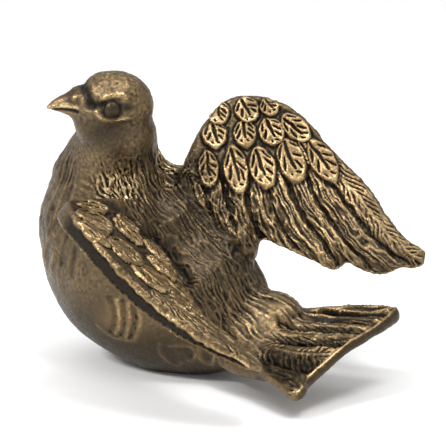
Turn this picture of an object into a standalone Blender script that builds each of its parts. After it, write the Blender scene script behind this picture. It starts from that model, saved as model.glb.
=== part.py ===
"""A cast bronze dove with raised wings, its head turned to the left, resting on its breast."""

from math import pi, radians, sin

import bmesh
import bpy
import numpy as np
from mathutils import Matrix, Vector

# Driving dimensions, in metres
LENGTH = 0.137
WING_THICKNESS = 0.0044
TAIL_THICKNESS = 0.0042
FEATHER_STEP = 0.0011
RIM_HEIGHT = 0.0004
SHAFT_GROOVE = 0.0007
EYE_RADIUS = 0.0028
SOCKET_DEPTH = 0.0012
FLAT_DEPTH = 0.0026

# The free form is given in units of a 137th of the length: X to the tail, Y to the bird's right, Z up
UNIT = LENGTH / 137.0

# How the body leans to its left, and how far the head turns to the left
BODY_LEAN = radians(18.7)
HEAD_TURN = radians(43.9)

# Fineness of the joined surface in units, how far hollow corners are filled, and the finished triangles
UNION_VOXEL = 0.85
FILLET_PASSES = 60
FACE_BUDGET = 9300

# Rings of the body from the head to the tail root: along, height, slope of the axis, half depth, half width
BODY_RINGS = (
    (8.6, 63.0, -85.0, 9.5, 8.5),
    (6.0, 55.0, -95.0, 13.9, 13.0),
    (0.3, 45.0, -107.0, 17.2, 16.0),
    (-4.6, 33.0, -98.0, 23.6, 21.4),
    (-7.0, 19.0, -80.0, 31.8, 28.6),
    (-0.5, 1.4, -50.0, 35.9, 33.2),
    (17.0, -10.8, -26.0, 30.7, 29.6),
    (34.0, -16.0, -22.0, 23.6, 23.5),
    (49.0, -20.6, -15.0, 12.2, 15.0),
    (62.0, -21.2, -4.0, 6.6, 14.0),
    (72.0, -20.5, 0.0, 3.0, 11.0),
)
RING_SIDES = 48
RING_STEPS = 60
EGG_SUBDIVISIONS = 5
# A saddle joins the neck, the shoulder and the root of each wing
SHOULDER_CENTRE = (12.5, 13.0, 25.0)
SHOULDER_RADII = (13.0, 11.0, 8.5)
# The rump swells to the right over the root of the tail
RUMP_CENTRE = (52.0, 7.0, -14.5)
RUMP_RADII = (13.0, 9.5, 7.0)
# A muscle joins the right wing's trailing edge and the back
WEB_CENTRE = (41.0, 12.0, 8.0)
WEB_RADII = (6.5, 6.0, 8.0)
# Short feathers swell under the left of the tail's root
VENT_CENTRE = (61.0, -12.0, -22.0)
VENT_RADII = (20.0, 8.0, 4.5)

# The skull and the jaw are egg shapes in the head's own frame, whose beak points to -X
HEAD_CENTRE = (9.0, 0.0, 64.2)
SKULL_CENTRE = (-0.8, 0.0, 0.0)
SKULL_RADII = (14.0, 11.0, 12.0)
JAW_CENTRE = (-5.6, 0.0, -6.0)
JAW_RADII = (9.0, 8.5, 8.5)
# Rings of the beak: forward of the head centre, height, half height, half width
BEAK_RINGS = (
    (8.5, 1.4, 7.4, 6.4),
    (11.4, 1.2, 7.0, 5.4),
    (14.4, 0.8, 5.5, 4.2),
    (17.2, 0.3, 3.9, 3.2),
    (20.0, 0.1, 2.8, 2.4),
    (22.4, -0.5, 1.8, 1.7),
    (23.9, -1.0, 1.1, 1.0),
)
EYE_PLACE = (-0.9, 9.2, -0.1)
SOCKET_HALF_LENGTH = 4.6
SOCKET_HALF_HEIGHT = 3.4
SOCKET_SLANT = 0.12
SOCKET_PLACE = 0.85
SOCKET_SPREAD = 0.28
BROW_RISE = 4.6
BROW_HALF_LENGTH = 6.0
BROW_SPREAD = 1.6
LORE_AHEAD = 7.0
LORE_HALF_LENGTH = 3.4
LORE_SPREAD = 1.5
# The face's carving fades out at the back of the head and near its middle plane
FACE_REACH = 20.0
FACE_FADE = 3.0
FACE_PLANE = 3.0

# The wing's own frame: its root corner, the way to its tip, out of its back, and to its leading edge
WING_ROOT = Vector((14.2, 17.0, 33.1))
WING_SPAN = Vector((0.899, 0.249, -0.360)).normalized()
WING_UP = WING_SPAN.cross(Vector((0.052, 0.756, 0.653))).normalized()
WING_CHORD = WING_UP.cross(WING_SPAN)
# The wing's outline by its side, 1 for the right: its root from below, its leading and its trailing edge
ROOT_EDGE = ((3.0, -10.0), (2.6, 0.0), (1.8, 10.0))
LEADING_EDGES = {
    1.0: (
        (1.8, 19.0), (5.0, 27.8), (12.0, 32.3), (20.5, 34.3), (30.4, 33.3), (40.1, 29.3), (50.1, 23.8),
        (65.0, 16.9), (82.8, 4.8), (94.4, 1.4),
    ),
    -1.0: (
        (1.8, 19.0), (5.0, 27.8), (12.0, 32.3), (20.5, 34.3), (30.4, 33.0), (40.1, 28.9), (50.1, 23.2),
        (65.0, 16.6), (76.0, 10.0), (88.0, 0.6),
    ),
}
TRAILING_EDGES = {
    1.0: (
        (6.0, -16.0), (18.0, -20.0), (28.0, -21.0), (35.5, -17.6), (38.8, -14.4), (47.3, -14.6), (57.5, -15.2),
        (66.4, -15.8), (69.4, -11.4), (76.0, -12.4), (83.6, -11.0), (87.8, -6.6), (91.5, -6.2), (95.8, -3.2),
    ),
    -1.0: (
        (5.0, -12.0), (13.0, -11.0), (21.0, -10.0), (30.0, -10.6), (38.0, -9.8), (47.0, -8.8), (56.0, -8.0),
        (65.0, -8.6), (73.0, -10.6), (80.0, -11.2), (85.0, -8.0), (89.0, -3.0),
    ),
}
WING_STEPS = (96, 40)
OUTLINE_STEPS = 400
# The wing's plan is cupped about its middle, and its back swells between the edges
WING_MIDDLE = (45.0, 10.0)
WING_HALF_SIZE = (45.0, 25.0)
WING_DEPTH = -11.2
SPAN_CUP = 7.2
LEADING_CUP = 8.0
TRAILING_CUP = 4.5
WING_TWIST = 5.1
WING_CAMBER = 5.0
WING_REACH = 96.0
# The wall is thinner at the trailing edge, and blunt where it ends
TRAILING_THINNING = 0.4
WING_BLUNTNESS = 0.5
EDGE_SHARES = (0.03, 0.12, 0.03)
# A bar along the leading edge hangs below the wall
BAR_HEIGHT = 4.0
BAR_SPREAD = 0.11

# Rows of leaf-shaped feathers from the lowest to the top one: first place, number, distance, length, width,
# and the lean of the first and of the last one
LEAF_ROWS = (
    ((9.6, 2.9), 5, 10.2, 17.0, 10.4, -72.0, -38.0),
    ((5.4, 15.2), 4, 9.8, 13.0, 10.2, -74.0, -34.0),
    ((4.4, 25.2), 3, 9.6, 11.0, 9.8, -76.0, -36.0),
)
ROW_RISE = radians(24.7)
LEAF_TILT = 0.4
LEAF_BASE = 0.3
RIM_PLACE = 0.85
RIM_SPREAD = 0.12
SHAFT_SPREAD = 0.14
# Long feathers fan out from a line of roots under the rows to a line of tips along the edge
QUILL_COUNT = 9
QUILL_ROOTS = ((15.0, -6.0), (47.0, 21.0))
QUILL_TIPS = ((33.0, -19.0), (45.0, -17.0), (61.0, -17.0), (76.0, -13.5), (88.0, -8.0), (96.0, -0.6))
QUILL_HALF_WIDTH = 3.4
QUILL_OVERRUN = 2.0
QUILL_TILT = 0.4
UNDERSIDE_SHARE = 0.5

# The tail is a fan whose middle line runs from its root to its end: along and height
TAIL_ROOT = (46.0, -18.5)
TAIL_END = (93.0, -19.4)
TAIL_ROOT_HALF = 13.0
TAIL_END_HALF = 29.0
TAIL_SWING = 2.2
# How far each place of the tail's end falls short of its full length: share of the half width, and the gap
TAIL_GAPS = (
    (-1.0, 3.0), (-0.94, 0.4), (-0.82, 0.8), (-0.7, 2.8), (-0.5, 2.6), (-0.2, 1.4), (0.2, 0.2), (0.6, 0.0),
    (0.85, 0.4), (0.96, 0.6), (1.0, 2.2),
)
# How much further its underside lies from its middle at the right corner, as a share
TAIL_SWELL = 0.9
TAIL_RIDGE = 2.0
TAIL_RIDGE_SPREAD = 0.4
TAIL_ROLL = radians(2.0)
TAIL_BLUNTNESS = 0.5
TAIL_EDGE_SHARES = (0.05, 0.02)
TAIL_FEATHERS = 9
TAIL_SHAFT_SPREAD = 0.1
TAIL_STEPS = (60, 60)

# Valleys between the wings and the back: points of their line on the surface, their depth and spread
VALLEYS = (
    (
        (
            (13.7, 10.0, 37.2), (16.2, 10.9, 33.6), (21.5, 8.9, 31.8), (24.5, 8.4, 27.7), (28.1, 8.0, 23.7),
            (31.7, 7.5, 19.8), (35.3, 7.8, 16.3), (39.4, 7.6, 13.0), (43.0, 7.1, 9.5),
        ),
        2.2,
        3.0,
    ),
    (
        (
            (21.0, -23.6, 42.2), (22.1, -22.0, 40.0), (23.3, -20.2, 37.4), (24.9, -18.2, 33.5), (28.8, -17.6, 29.2),
            (28.4, -14.1, 23.7), (27.8, -10.8, 18.0), (30.2, -10.5, 14.2), (33.2, -11.3, 10.8), (37.1, -12.7, 6.7),
        ),
        2.6,
        2.4,
    ),
)


def along(values, count):
    """Points of a smooth curve through the given ones, evenly spread over their spans."""
    values = np.asarray(values, float)
    padded = np.vstack([2 * values[0] - values[1], values, 2 * values[-1] - values[-2]])
    place = np.linspace(0.0, len(values) - 1.0, count)
    span = np.minimum(place.astype(int), len(values) - 2)
    t = (place - span)[:, None]
    a, b, c, d = (padded[span + k] for k in range(4))
    return 0.5 * (2 * b + (c - a) * t + (2 * a - 5 * b + 4 * c - d) * t**2 + (3 * b - a - 3 * c + d) * t**3)


def smooth_step(low, high, value):
    """0 below low, 1 above high, and smooth between."""
    t = np.clip((value - low) / (high - low), 0.0, 1.0)
    return t * t * (3.0 - 2.0 * t)


def bump(value, spread):
    """1 at zero, falling to nothing over about twice the spread."""
    return np.exp(-((value / spread) ** 2))


def add_ring(bm, matrix, half_height, half_width):
    """One loop of edges: an ellipse in the YZ plane of the matrix."""
    ring = bmesh.ops.create_circle(bm, cap_ends=False, segments=RING_SIDES, radius=1.0)["verts"]
    stretch = Matrix.Diagonal((1.0, half_width, half_height, 1.0))
    upright = Matrix.Rotation(pi / 2, 4, "Y")
    bmesh.ops.transform(bm, matrix=matrix @ stretch @ upright, verts=ring)
    return list({edge for vert in ring for edge in vert.link_edges})


def loft(rings):
    """A closed body through a row of elliptical rings."""
    bm = bmesh.new()
    loops = [add_ring(bm, *ring) for ring in rings]
    for first, second in zip(loops, loops[1:]):
        bmesh.ops.bridge_loops(bm, edges=first + second)
    bmesh.ops.holes_fill(bm, edges=bm.edges, sides=0)
    bmesh.ops.recalc_face_normals(bm, faces=bm.faces)
    return bm


def body_form():
    """Breast, back, belly and neck in one."""
    rings = []
    for x, z, slope, depth, width in along(BODY_RINGS, RING_STEPS):
        matrix = Matrix.Translation(Vector((x, 0.0, z)) * UNIT) @ Matrix.Rotation(-radians(slope), 4, "Y")
        rings.append((matrix, depth * UNIT, width * UNIT))
    return loft(rings)


def egg_form(centre, radii):
    bm = bmesh.new()
    bmesh.ops.create_icosphere(bm, subdivisions=EGG_SUBDIVISIONS, radius=1.0)
    bmesh.ops.scale(bm, vec=Vector(radii) * UNIT, verts=bm.verts)
    bmesh.ops.translate(bm, vec=Vector(centre) * UNIT, verts=bm.verts)
    return bm


def beak_form():
    rings = []
    for forward, height, half_height, half_width in along(BEAK_RINGS, RING_STEPS // 2):
        matrix = Matrix.Translation(Vector((-forward, 0.0, height)) * UNIT)
        rings.append((matrix, half_height * UNIT, half_width * UNIT))
    return loft(rings)


def mirrored(place, side):
    """A place given for the right side, or its twin on the left."""
    return (place[0], side * place[1], place[2])


def eye_form(side):
    return egg_form(mirrored(EYE_PLACE, side), [EYE_RADIUS / UNIT] * 3)


def wing_chord(p, q, side):
    """How far a place lies from the trailing edge, 0, to the leading edge, 1."""
    lead = np.asarray(LEADING_EDGES[side])
    trail = np.asarray(TRAILING_EDGES[side])
    front = np.interp(p, lead[:, 0], lead[:, 1])
    back = np.interp(p, trail[:, 0], trail[:, 1])
    return np.clip((q - back) / np.maximum(front - back, 1.0), 0.0, 1.0)


def wing_middle(p, q, side):
    """Height of the middle of the wing's wall over the wing's own plane, in units."""
    a = (p - WING_MIDDLE[0]) / WING_HALF_SIZE[0]
    c = (q - WING_MIDDLE[1]) / WING_HALF_SIZE[1]
    cup = SPAN_CUP * a**2 + np.where(c > 0.0, LEADING_CUP, TRAILING_CUP) * c**2 + WING_TWIST * a * c
    taper = np.clip(1.0 - (p / WING_REACH) ** 3, 0.0, 1.0)
    swell = WING_CAMBER * taper * np.sin(pi * wing_chord(p, q, side)) ** 0.8
    return WING_DEPTH + cup + swell + 0.5 * WING_THICKNESS / UNIT


def wall_grid(steps):
    """A closed double grid over the unit square, with its lower and its upper vertices."""
    bm = bmesh.new()
    bmesh.ops.create_grid(bm, x_segments=steps[0], y_segments=steps[1], size=0.5)
    bmesh.ops.translate(bm, vec=(0.5, 0.5, 0.0), verts=bm.verts)
    lower = list(bm.verts)
    result = bmesh.ops.extrude_face_region(bm, geom=list(bm.faces), use_keep_orig=True)
    upper = [item for item in result["geom"] if isinstance(item, bmesh.types.BMVert)]
    return bm, lower, upper


def rounded(bluntness, *distances):
    """Share of the full wall near an edge: distances run from 0 on the edge to 1 where the wall is full."""
    edge = min(1.0, *distances)
    return bluntness + (1.0 - bluntness) * (1.0 - (1.0 - edge) ** 2) ** 0.5


def wing_form(side):
    """A curved wall between the leading and the trailing edge, with a bar under the leading one."""
    bm, lower, upper = wall_grid(WING_STEPS)
    lead = along(ROOT_EDGE + LEADING_EDGES[side], OUTLINE_STEPS + 1)
    trail = along(TRAILING_EDGES[side], OUTLINE_STEPS + 1)
    lead_edge, trail_edge, tip_edge = EDGE_SHARES
    for verts, lift in ((lower, -0.5), (upper, 0.5)):
        for vert in verts:
            s, t = vert.co.x, vert.co.y
            index = round(s * OUTLINE_STEPS)
            p, q = lead[index] * (1 - t) + trail[index] * t
            full = rounded(WING_BLUNTNESS, (1 - t) / trail_edge, t / lead_edge, (1 - s) / tip_edge)
            height = wing_middle(p, q, side)
            height += lift * WING_THICKNESS / UNIT * (1.0 - TRAILING_THINNING * t) * full
            if lift < 0.0:
                height -= BAR_HEIGHT * bump(t, BAR_SPREAD) * min(1.0, 3.0 * s, 4.0 * (1.0 - s))
            spot = WING_ROOT + WING_SPAN * p + WING_CHORD * q + WING_UP * height
            vert.co = Vector(mirrored(spot, side)) * UNIT
    bmesh.ops.recalc_face_normals(bm, faces=bm.faces)
    return bm


def tail_half(s):
    return TAIL_ROOT_HALF + (TAIL_END_HALF - TAIL_ROOT_HALF) * s


def tail_middle(s, t):
    """Height of the middle of the tail's wall at a share of its length and of its half width, in units."""
    level = TAIL_ROOT[1] + (TAIL_END[1] - TAIL_ROOT[1]) * s
    ridge = TAIL_RIDGE * (bump(t, TAIL_RIDGE_SPREAD) - TAIL_RIDGE_SPREAD)
    return level + s * (tail_half(s) * t * sin(TAIL_ROLL) + ridge)


def tail_form():
    """A fan-shaped wall, blunt along its end and sides, and thicker at its right corner."""
    bm, lower, upper = wall_grid(TAIL_STEPS)
    side_edge, end_edge = TAIL_EDGE_SHARES
    place, gap = np.array(TAIL_GAPS).T
    for verts, lift in ((lower, -0.5), (upper, 0.5)):
        for vert in verts:
            s, t = vert.co.x, 2.0 * vert.co.y - 1.0
            x = TAIL_ROOT[0] + (TAIL_END[0] - TAIL_ROOT[0]) * s - s * np.interp(t, place, gap)
            y = tail_half(s) * t + TAIL_SWING * s
            full = rounded(TAIL_BLUNTNESS, (1 - abs(t)) / side_edge, (1 - s) / end_edge)
            wall = TAIL_THICKNESS / UNIT * full
            if lift < 0.0:
                wall *= 1.0 + TAIL_SWELL * s * smooth_step(0.4, 1.0, t)
            vert.co = Vector((x, y, tail_middle(s, t) + lift * wall)) * UNIT
    bmesh.ops.recalc_face_normals(bm, faces=bm.faces)
    return bm


def leaf_places():
    """Each leaf-shaped feather's middle, half length, half width and the way it points."""
    for (first_p, first_q), count, pitch, length, width, first_lean, last_lean in LEAF_ROWS:
        for index in range(count):
            p = first_p + index * pitch * np.cos(ROW_RISE)
            q = first_q + index * pitch * np.sin(ROW_RISE)
            lean = radians(first_lean + (last_lean - first_lean) * index / (count - 1))
            yield p, q, 0.5 * length, 0.5 * width, (np.cos(lean), np.sin(lean))


def leaf_height(run, off):
    """Height of a leaf-shaped feather: it rises to its tip, with a raised rim and a groove along its shaft."""
    reach = np.sqrt(run**2 + off**2)
    rise = FEATHER_STEP * (LEAF_BASE + 1.0 - LEAF_TILT + LEAF_TILT * 0.5 * (run + 1.0))
    groove = SHAFT_GROOVE * bump(off, SHAFT_SPREAD) * smooth_step(1.0, 0.6, run)
    return rise * smooth_step(1.0, 0.9, reach) + RIM_HEIGHT * bump(reach - RIM_PLACE, RIM_SPREAD) - groove


def quill_places():
    """Each long feather's root, length and the way it points."""
    roots = along(QUILL_ROOTS, QUILL_COUNT)
    tips = along(QUILL_TIPS, QUILL_COUNT)
    for root, tip in zip(roots, tips):
        length = np.hypot(*(tip - root))
        yield root[0], root[1], length, (tip - root) / length


def wing_relief(p, q, leaves):
    """Height of the carved feathers over the smooth wing, in metres."""
    height = np.zeros_like(p)
    for root_p, root_q, length, way in quill_places():
        run = (p - root_p) * way[0] + (q - root_q) * way[1]
        off = ((q - root_q) * way[0] - (p - root_p) * way[1]) / QUILL_HALF_WIDTH
        inside = (np.abs(off) < 1.0) & (run > 0.0) & (run < length + QUILL_OVERRUN)
        value = FEATHER_STEP * QUILL_TILT * (1.0 + off) - SHAFT_GROOVE * bump(off, SHAFT_SPREAD)
        height = np.where(inside, value, height)
    if leaves:
        for mid_p, mid_q, half_length, half_width, way in leaf_places():
            run = ((p - mid_p) * way[0] + (q - mid_q) * way[1]) / half_length
            off = ((q - mid_q) * way[0] - (p - mid_p) * way[1]) / half_width
            height = np.where(run**2 + off**2 < 1.0, leaf_height(run, off), height)
    return height


def tail_relief(s, t):
    """Height of the tail's fan of feathers, in metres: each lies partly under the next one inwards."""
    place = np.abs(t) * 0.5 * TAIL_FEATHERS
    across = place - np.floor(place + 0.5)
    value = FEATHER_STEP * (0.5 - across) - SHAFT_GROOVE * bump(across, TAIL_SHAFT_SPREAD)
    return value * smooth_step(0.1, 0.4, s)


def face_relief(x, z):
    """Height of the brow and depth of the eye socket and the lore over the smooth head, in metres."""
    ahead = x - EYE_PLACE[0]
    above = z - EYE_PLACE[2] + SOCKET_SLANT * ahead
    reach = np.sqrt((ahead / SOCKET_HALF_LENGTH) ** 2 + (above / SOCKET_HALF_HEIGHT) ** 2)
    socket = bump(reach - SOCKET_PLACE, SOCKET_SPREAD)
    brow = bump(above - BROW_RISE, BROW_SPREAD) * bump(ahead, BROW_HALF_LENGTH)
    lore = bump(above, LORE_SPREAD) * bump(ahead + LORE_AHEAD, LORE_HALF_LENGTH)
    return SOCKET_DEPTH * (0.5 * brow - socket - 0.8 * lore)


LEAN = Matrix.Rotation(BODY_LEAN, 4, "X")
HEAD_FRAME = Matrix.Translation(LEAN @ (Vector(HEAD_CENTRE) * UNIT)) @ Matrix.Rotation(HEAD_TURN, 4, "Z")


def joined(forms):
    """All forms in one mesh, each set in place by its matrix."""
    whole = bmesh.new()
    for form, matrix in forms:
        bmesh.ops.transform(form, matrix=matrix, verts=form.verts)
        piece = bpy.data.meshes.new("form")
        form.to_mesh(piece)
        form.free()
        whole.from_mesh(piece)
        bpy.data.meshes.remove(piece)
    return whole


def mesh_arrays(mesh):
    """Places and normals of a mesh's vertices and the ends of its edges."""
    places = np.empty(len(mesh.vertices) * 3)
    mesh.vertices.foreach_get("co", places)
    normals = np.empty(len(mesh.vertices) * 3)
    mesh.vertices.foreach_get("normal", normals)
    ends = np.empty(len(mesh.edges) * 2, int)
    mesh.edges.foreach_get("vertices", ends)
    return places.reshape(-1, 3), normals.reshape(-1, 3), ends.reshape(-1, 2)


def set_places(mesh, places):
    mesh.vertices.foreach_set("co", places.ravel())
    mesh.update()


def fillet(mesh):
    """Fills the hollow corners where forms meet, as wax does, and nearly keeps the outward ones."""
    for _ in range(FILLET_PASSES):
        places, normals, ends = mesh_arrays(mesh)
        total = np.zeros_like(places)
        for axis in range(3):
            total[:, axis] = np.bincount(ends[:, 0], places[ends[:, 1], axis], len(places))
            total[:, axis] += np.bincount(ends[:, 1], places[ends[:, 0], axis], len(places))
        shift = total / np.bincount(ends.ravel(), minlength=len(places))[:, None] - places
        out = np.sum(shift * normals, axis=1, keepdims=True)
        kept = np.where(out > 0.0, 0.0, 0.9 * out)
        set_places(mesh, places + 0.5 * (shift - kept * normals))


def in_frame(matrix, places, normals):
    """Places in units and normals as a frame sees them."""
    back = np.array(matrix.inverted())
    return (places @ back[:3, :3].T + back[:3, 3]) / UNIT, normals @ back[:3, :3].T


def line_gap(places, line):
    """Distance of each place from a line through points."""
    line = np.asarray(line)
    gap = np.full(len(places), np.inf)
    for first, last in zip(line, line[1:]):
        way = last - first
        share = np.clip((places - first) @ way / (way @ way), 0.0, 1.0)
        gap = np.minimum(gap, np.linalg.norm(places - first - share[:, None] * way, axis=1))
    return gap


def carve_valleys(places, normals):
    """Sinks the valleys between the wings and the back."""
    spot, _ = in_frame(LEAN, places, normals)
    for line, depth, spread in VALLEYS:
        places = places - (depth * UNIT * bump(line_gap(spot, line), spread))[:, None] * normals
    return places


def carve_wings(places, normals):
    """Raises the feathers on the back of both wings, and fainter ones beneath."""
    spot, facing = in_frame(LEAN, places, normals)
    for side in (1.0, -1.0):
        rel = spot * (1.0, side, 1.0) - np.array(WING_ROOT)
        tilt = facing * (1.0, side, 1.0) @ np.array(WING_UP)
        p, q, z = (rel @ np.array(axis) for axis in (WING_SPAN, WING_CHORD, WING_UP))
        gap = np.abs(z - wing_middle(p, q, side)) - 0.5 * WING_THICKNESS / UNIT
        on_wing = smooth_step(3.0, 1.2, gap) * smooth_step(1.0, 0.93, wing_chord(p, q, side))
        on_wing = on_wing * smooth_step(WING_REACH, WING_REACH - 2.0, p)
        upper = smooth_step(0.3, 0.7, tilt) * wing_relief(p, q, True)
        under = smooth_step(0.3, 0.7, -tilt) * wing_relief(p, q, False) * UNDERSIDE_SHARE
        places = places + (on_wing * (upper + under))[:, None] * normals
    return places


def carve_tail(places, normals):
    """Raises the tail feathers, fainter beneath."""
    spot, facing = in_frame(LEAN, places, normals)
    x, y, z = spot.T
    s = (x - TAIL_ROOT[0]) / (TAIL_END[0] - TAIL_ROOT[0])
    t = (y - TAIL_SWING * s) / tail_half(np.clip(s, 0.0, 1.0))
    on_tail = smooth_step(0.35, 0.6, s) * smooth_step(1.05, 1.0, np.abs(t))
    level = np.abs(z - tail_middle(s, t)) - 0.5 * TAIL_THICKNESS / UNIT
    on_tail = on_tail * smooth_step(2.0, 1.0, level)
    faces = smooth_step(0.3, 0.7, facing[:, 2]) + UNDERSIDE_SHARE * smooth_step(0.3, 0.7, -facing[:, 2])
    return places + (tail_relief(s, t) * on_tail * faces)[:, None] * normals


def carve_face(places, normals):
    """Sinks the eye sockets round the eyeballs and raises the brows."""
    spot, _ = in_frame(HEAD_FRAME, places, normals)
    on_face = smooth_step(FACE_PLANE, FACE_PLANE + 2.0, np.abs(spot[:, 1]))
    on_face = on_face * smooth_step(FACE_REACH, FACE_REACH - FACE_FADE, np.linalg.norm(spot, axis=1))
    eyes = [np.linalg.norm(spot - mirrored(EYE_PLACE, side), axis=1) for side in (1, -1)]
    off_eye = smooth_step(0.0, 0.4, np.minimum(*eyes) - EYE_RADIUS / UNIT)
    return places + (face_relief(spot[:, 0], spot[:, 2]) * on_face * off_eye)[:, None] * normals


def carve(mesh):
    """Cuts the feathers and the face into the joined surface."""
    for cut in (carve_valleys, carve_wings, carve_tail, carve_face):
        places, normals, _ = mesh_arrays(mesh)
        set_places(mesh, cut(places, normals))


def bronze():
    """Cast bronze with a dark brown patina and rubbed golden high places."""
    material = bpy.data.materials.new("cast bronze, patinated")
    material.use_nodes = True
    shader = material.node_tree.nodes["Principled BSDF"]
    shader.inputs["Base Color"].default_value = (0.105, 0.068, 0.038, 1.0)
    shader.inputs["Metallic"].default_value = 1.0
    shader.inputs["Roughness"].default_value = 0.42
    return material


def apply_modifiers(obj):
    """Keeps the mesh that an object's modifiers make, and clears them."""
    graph = bpy.context.evaluated_depsgraph_get()
    old = obj.data
    obj.data = bpy.data.meshes.new_from_object(obj.evaluated_get(graph))
    obj.modifiers.clear()
    bpy.data.meshes.remove(old)


def stand_flat(mesh):
    """Cuts a flat place under the breast, and sets the origin under the middle of the bounding box."""
    bm = bmesh.new()
    bm.from_mesh(mesh)
    floor = min(vert.co.z for vert in bm.verts) + FLAT_DEPTH
    everything = bm.verts[:] + bm.edges[:] + bm.faces[:]
    cut = bmesh.ops.bisect_plane(
        bm, geom=everything, plane_co=(0.0, 0.0, floor), plane_no=(0.0, 0.0, 1.0), clear_inner=True
    )
    rim = [item for item in cut["geom_cut"] if isinstance(item, bmesh.types.BMEdge)]
    bmesh.ops.holes_fill(bm, edges=rim, sides=0)
    bmesh.ops.triangulate(bm, faces=bm.faces)
    bmesh.ops.recalc_face_normals(bm, faces=bm.faces)
    corners = np.array([vert.co for vert in bm.verts])
    middle = 0.5 * (corners.min(axis=0) + corners.max(axis=0))
    shift = Vector((-middle[0], -middle[1], -floor))
    bmesh.ops.translate(bm, vec=shift, verts=bm.verts)
    bm.to_mesh(mesh)
    bm.free()
    return shift


def main():
    for item in list(bpy.data.objects):
        bpy.data.objects.remove(item)
    forms = [
        (body_form(), LEAN),
        (tail_form(), LEAN),
        (egg_form(RUMP_CENTRE, RUMP_RADII), LEAN),
        (egg_form(WEB_CENTRE, WEB_RADII), LEAN),
        (egg_form(VENT_CENTRE, VENT_RADII), LEAN),
        (egg_form(SKULL_CENTRE, SKULL_RADII), HEAD_FRAME),
        (egg_form(JAW_CENTRE, JAW_RADII), HEAD_FRAME),
        (beak_form(), HEAD_FRAME),
    ]
    for side in (1.0, -1.0):
        forms.append((wing_form(side), LEAN))
        forms.append((egg_form(mirrored(SHOULDER_CENTRE, side), SHOULDER_RADII), LEAN))
        forms.append((eye_form(side), HEAD_FRAME))
    mesh = bpy.data.meshes.new("dove_casting")
    whole = joined(forms)
    whole.to_mesh(mesh)
    whole.free()
    dove = bpy.data.objects.new("dove_casting", mesh)
    bpy.context.collection.objects.link(dove)
    union = dove.modifiers.new("union", "REMESH")
    union.mode = "VOXEL"
    union.voxel_size = UNION_VOXEL * UNIT
    apply_modifiers(dove)
    fillet(dove.data)
    carve(dove.data)
    thin = dove.modifiers.new("thin", "DECIMATE")
    thin.ratio = FACE_BUDGET / (2 * len(dove.data.polygons))
    apply_modifiers(dove)
    shift = stand_flat(dove.data)
    dove.data.materials.clear()
    dove.data.materials.append(bronze())
    return dove, shift


DOVE, SHIFT = main()
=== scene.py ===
"""The looks of a cast bronze dove with raised wings, resting on its breast."""

from math import cos, pi, radians, sin

import bmesh
import bpy
import numpy as np
from mathutils import Matrix, Vector


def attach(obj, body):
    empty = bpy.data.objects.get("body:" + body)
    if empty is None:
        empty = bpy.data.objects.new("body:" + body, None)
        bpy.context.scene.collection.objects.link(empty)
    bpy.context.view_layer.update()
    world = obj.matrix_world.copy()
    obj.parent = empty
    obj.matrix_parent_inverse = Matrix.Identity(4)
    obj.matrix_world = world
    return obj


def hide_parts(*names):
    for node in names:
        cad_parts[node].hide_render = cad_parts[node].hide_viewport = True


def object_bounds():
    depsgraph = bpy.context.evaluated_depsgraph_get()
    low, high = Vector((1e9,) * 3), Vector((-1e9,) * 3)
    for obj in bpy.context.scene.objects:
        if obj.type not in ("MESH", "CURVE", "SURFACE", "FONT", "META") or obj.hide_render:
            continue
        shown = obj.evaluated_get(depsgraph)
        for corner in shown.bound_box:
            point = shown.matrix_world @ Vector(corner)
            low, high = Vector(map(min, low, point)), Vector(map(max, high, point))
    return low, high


bl_info = {
    "name": "Cast bronze dove",
    "version": (1, 0, 0),
    "blender": (4, 5, 0),
    "location": "3D View > Sidebar > Dove",
    "description": "Models a cast bronze dove with carved feathers, and a pale studio round it",
    "category": "Object",
}

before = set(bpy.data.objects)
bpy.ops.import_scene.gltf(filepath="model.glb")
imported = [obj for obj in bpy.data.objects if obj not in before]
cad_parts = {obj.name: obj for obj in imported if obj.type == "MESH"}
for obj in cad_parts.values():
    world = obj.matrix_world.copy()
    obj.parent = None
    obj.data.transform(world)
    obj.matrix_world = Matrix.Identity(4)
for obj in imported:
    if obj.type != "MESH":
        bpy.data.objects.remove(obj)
CAD_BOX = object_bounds()

# The free form is given in millimetres: X to the tail, Y to the bird's right, Z up
MM = 0.001
# Where the form's own origin lies on the part
FORM_PLACE = Vector((-0.03041, 0.00949, 0.03613))

BODY_LEAN = radians(18.7)
HEAD_TURN = radians(43.9)
UNION_VOXEL = 0.85 * MM
FILLET_PASSES = 60
# How far a vertex goes towards its neighbours in one pass, and how much of that an outward corner is spared
FILLET_STEP = 0.5
FILLET_SPARED = 0.9
FACE_BUDGET = 188000
RING_SIDES = 48
RING_STEPS = 60
EGG_SUBDIVISIONS = 5

# Rings of the body from the head to the tail root: along, height, slope of the axis, half depth, half width
BODY_RINGS = (
    (8.6, 63.0, -85.0, 9.5, 8.5),
    (6.0, 55.0, -95.0, 13.9, 13.0),
    (0.3, 45.0, -107.0, 17.2, 16.0),
    (-4.6, 33.0, -98.0, 23.6, 21.4),
    (-7.0, 19.0, -80.0, 31.8, 28.6),
    (-0.5, 1.4, -50.0, 35.9, 33.2),
    (17.0, -10.8, -26.0, 30.7, 29.6),
    (34.0, -16.0, -22.0, 23.6, 23.5),
    (49.0, -20.6, -15.0, 12.2, 15.0),
    (62.0, -21.2, -4.0, 6.6, 14.0),
    (72.0, -20.5, 0.0, 3.0, 11.0),
)
SHOULDER_CENTRE = (12.5, 13.0, 25.0)
SHOULDER_RADII = (13.0, 11.0, 8.5)
# The rump swells to the right over the root of the tail
RUMP_CENTRE = (52.0, 7.0, -14.5)
RUMP_RADII = (13.0, 9.5, 7.0)
# A muscle joins the right wing's trailing edge and the back
WEB_CENTRE = (41.0, 12.0, 8.0)
WEB_RADII = (6.5, 6.0, 8.0)
# Short feathers swell under the left of the tail's root
VENT_CENTRE = (61.0, -12.0, -22.0)
VENT_RADII = (20.0, 8.0, 4.5)

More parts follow.
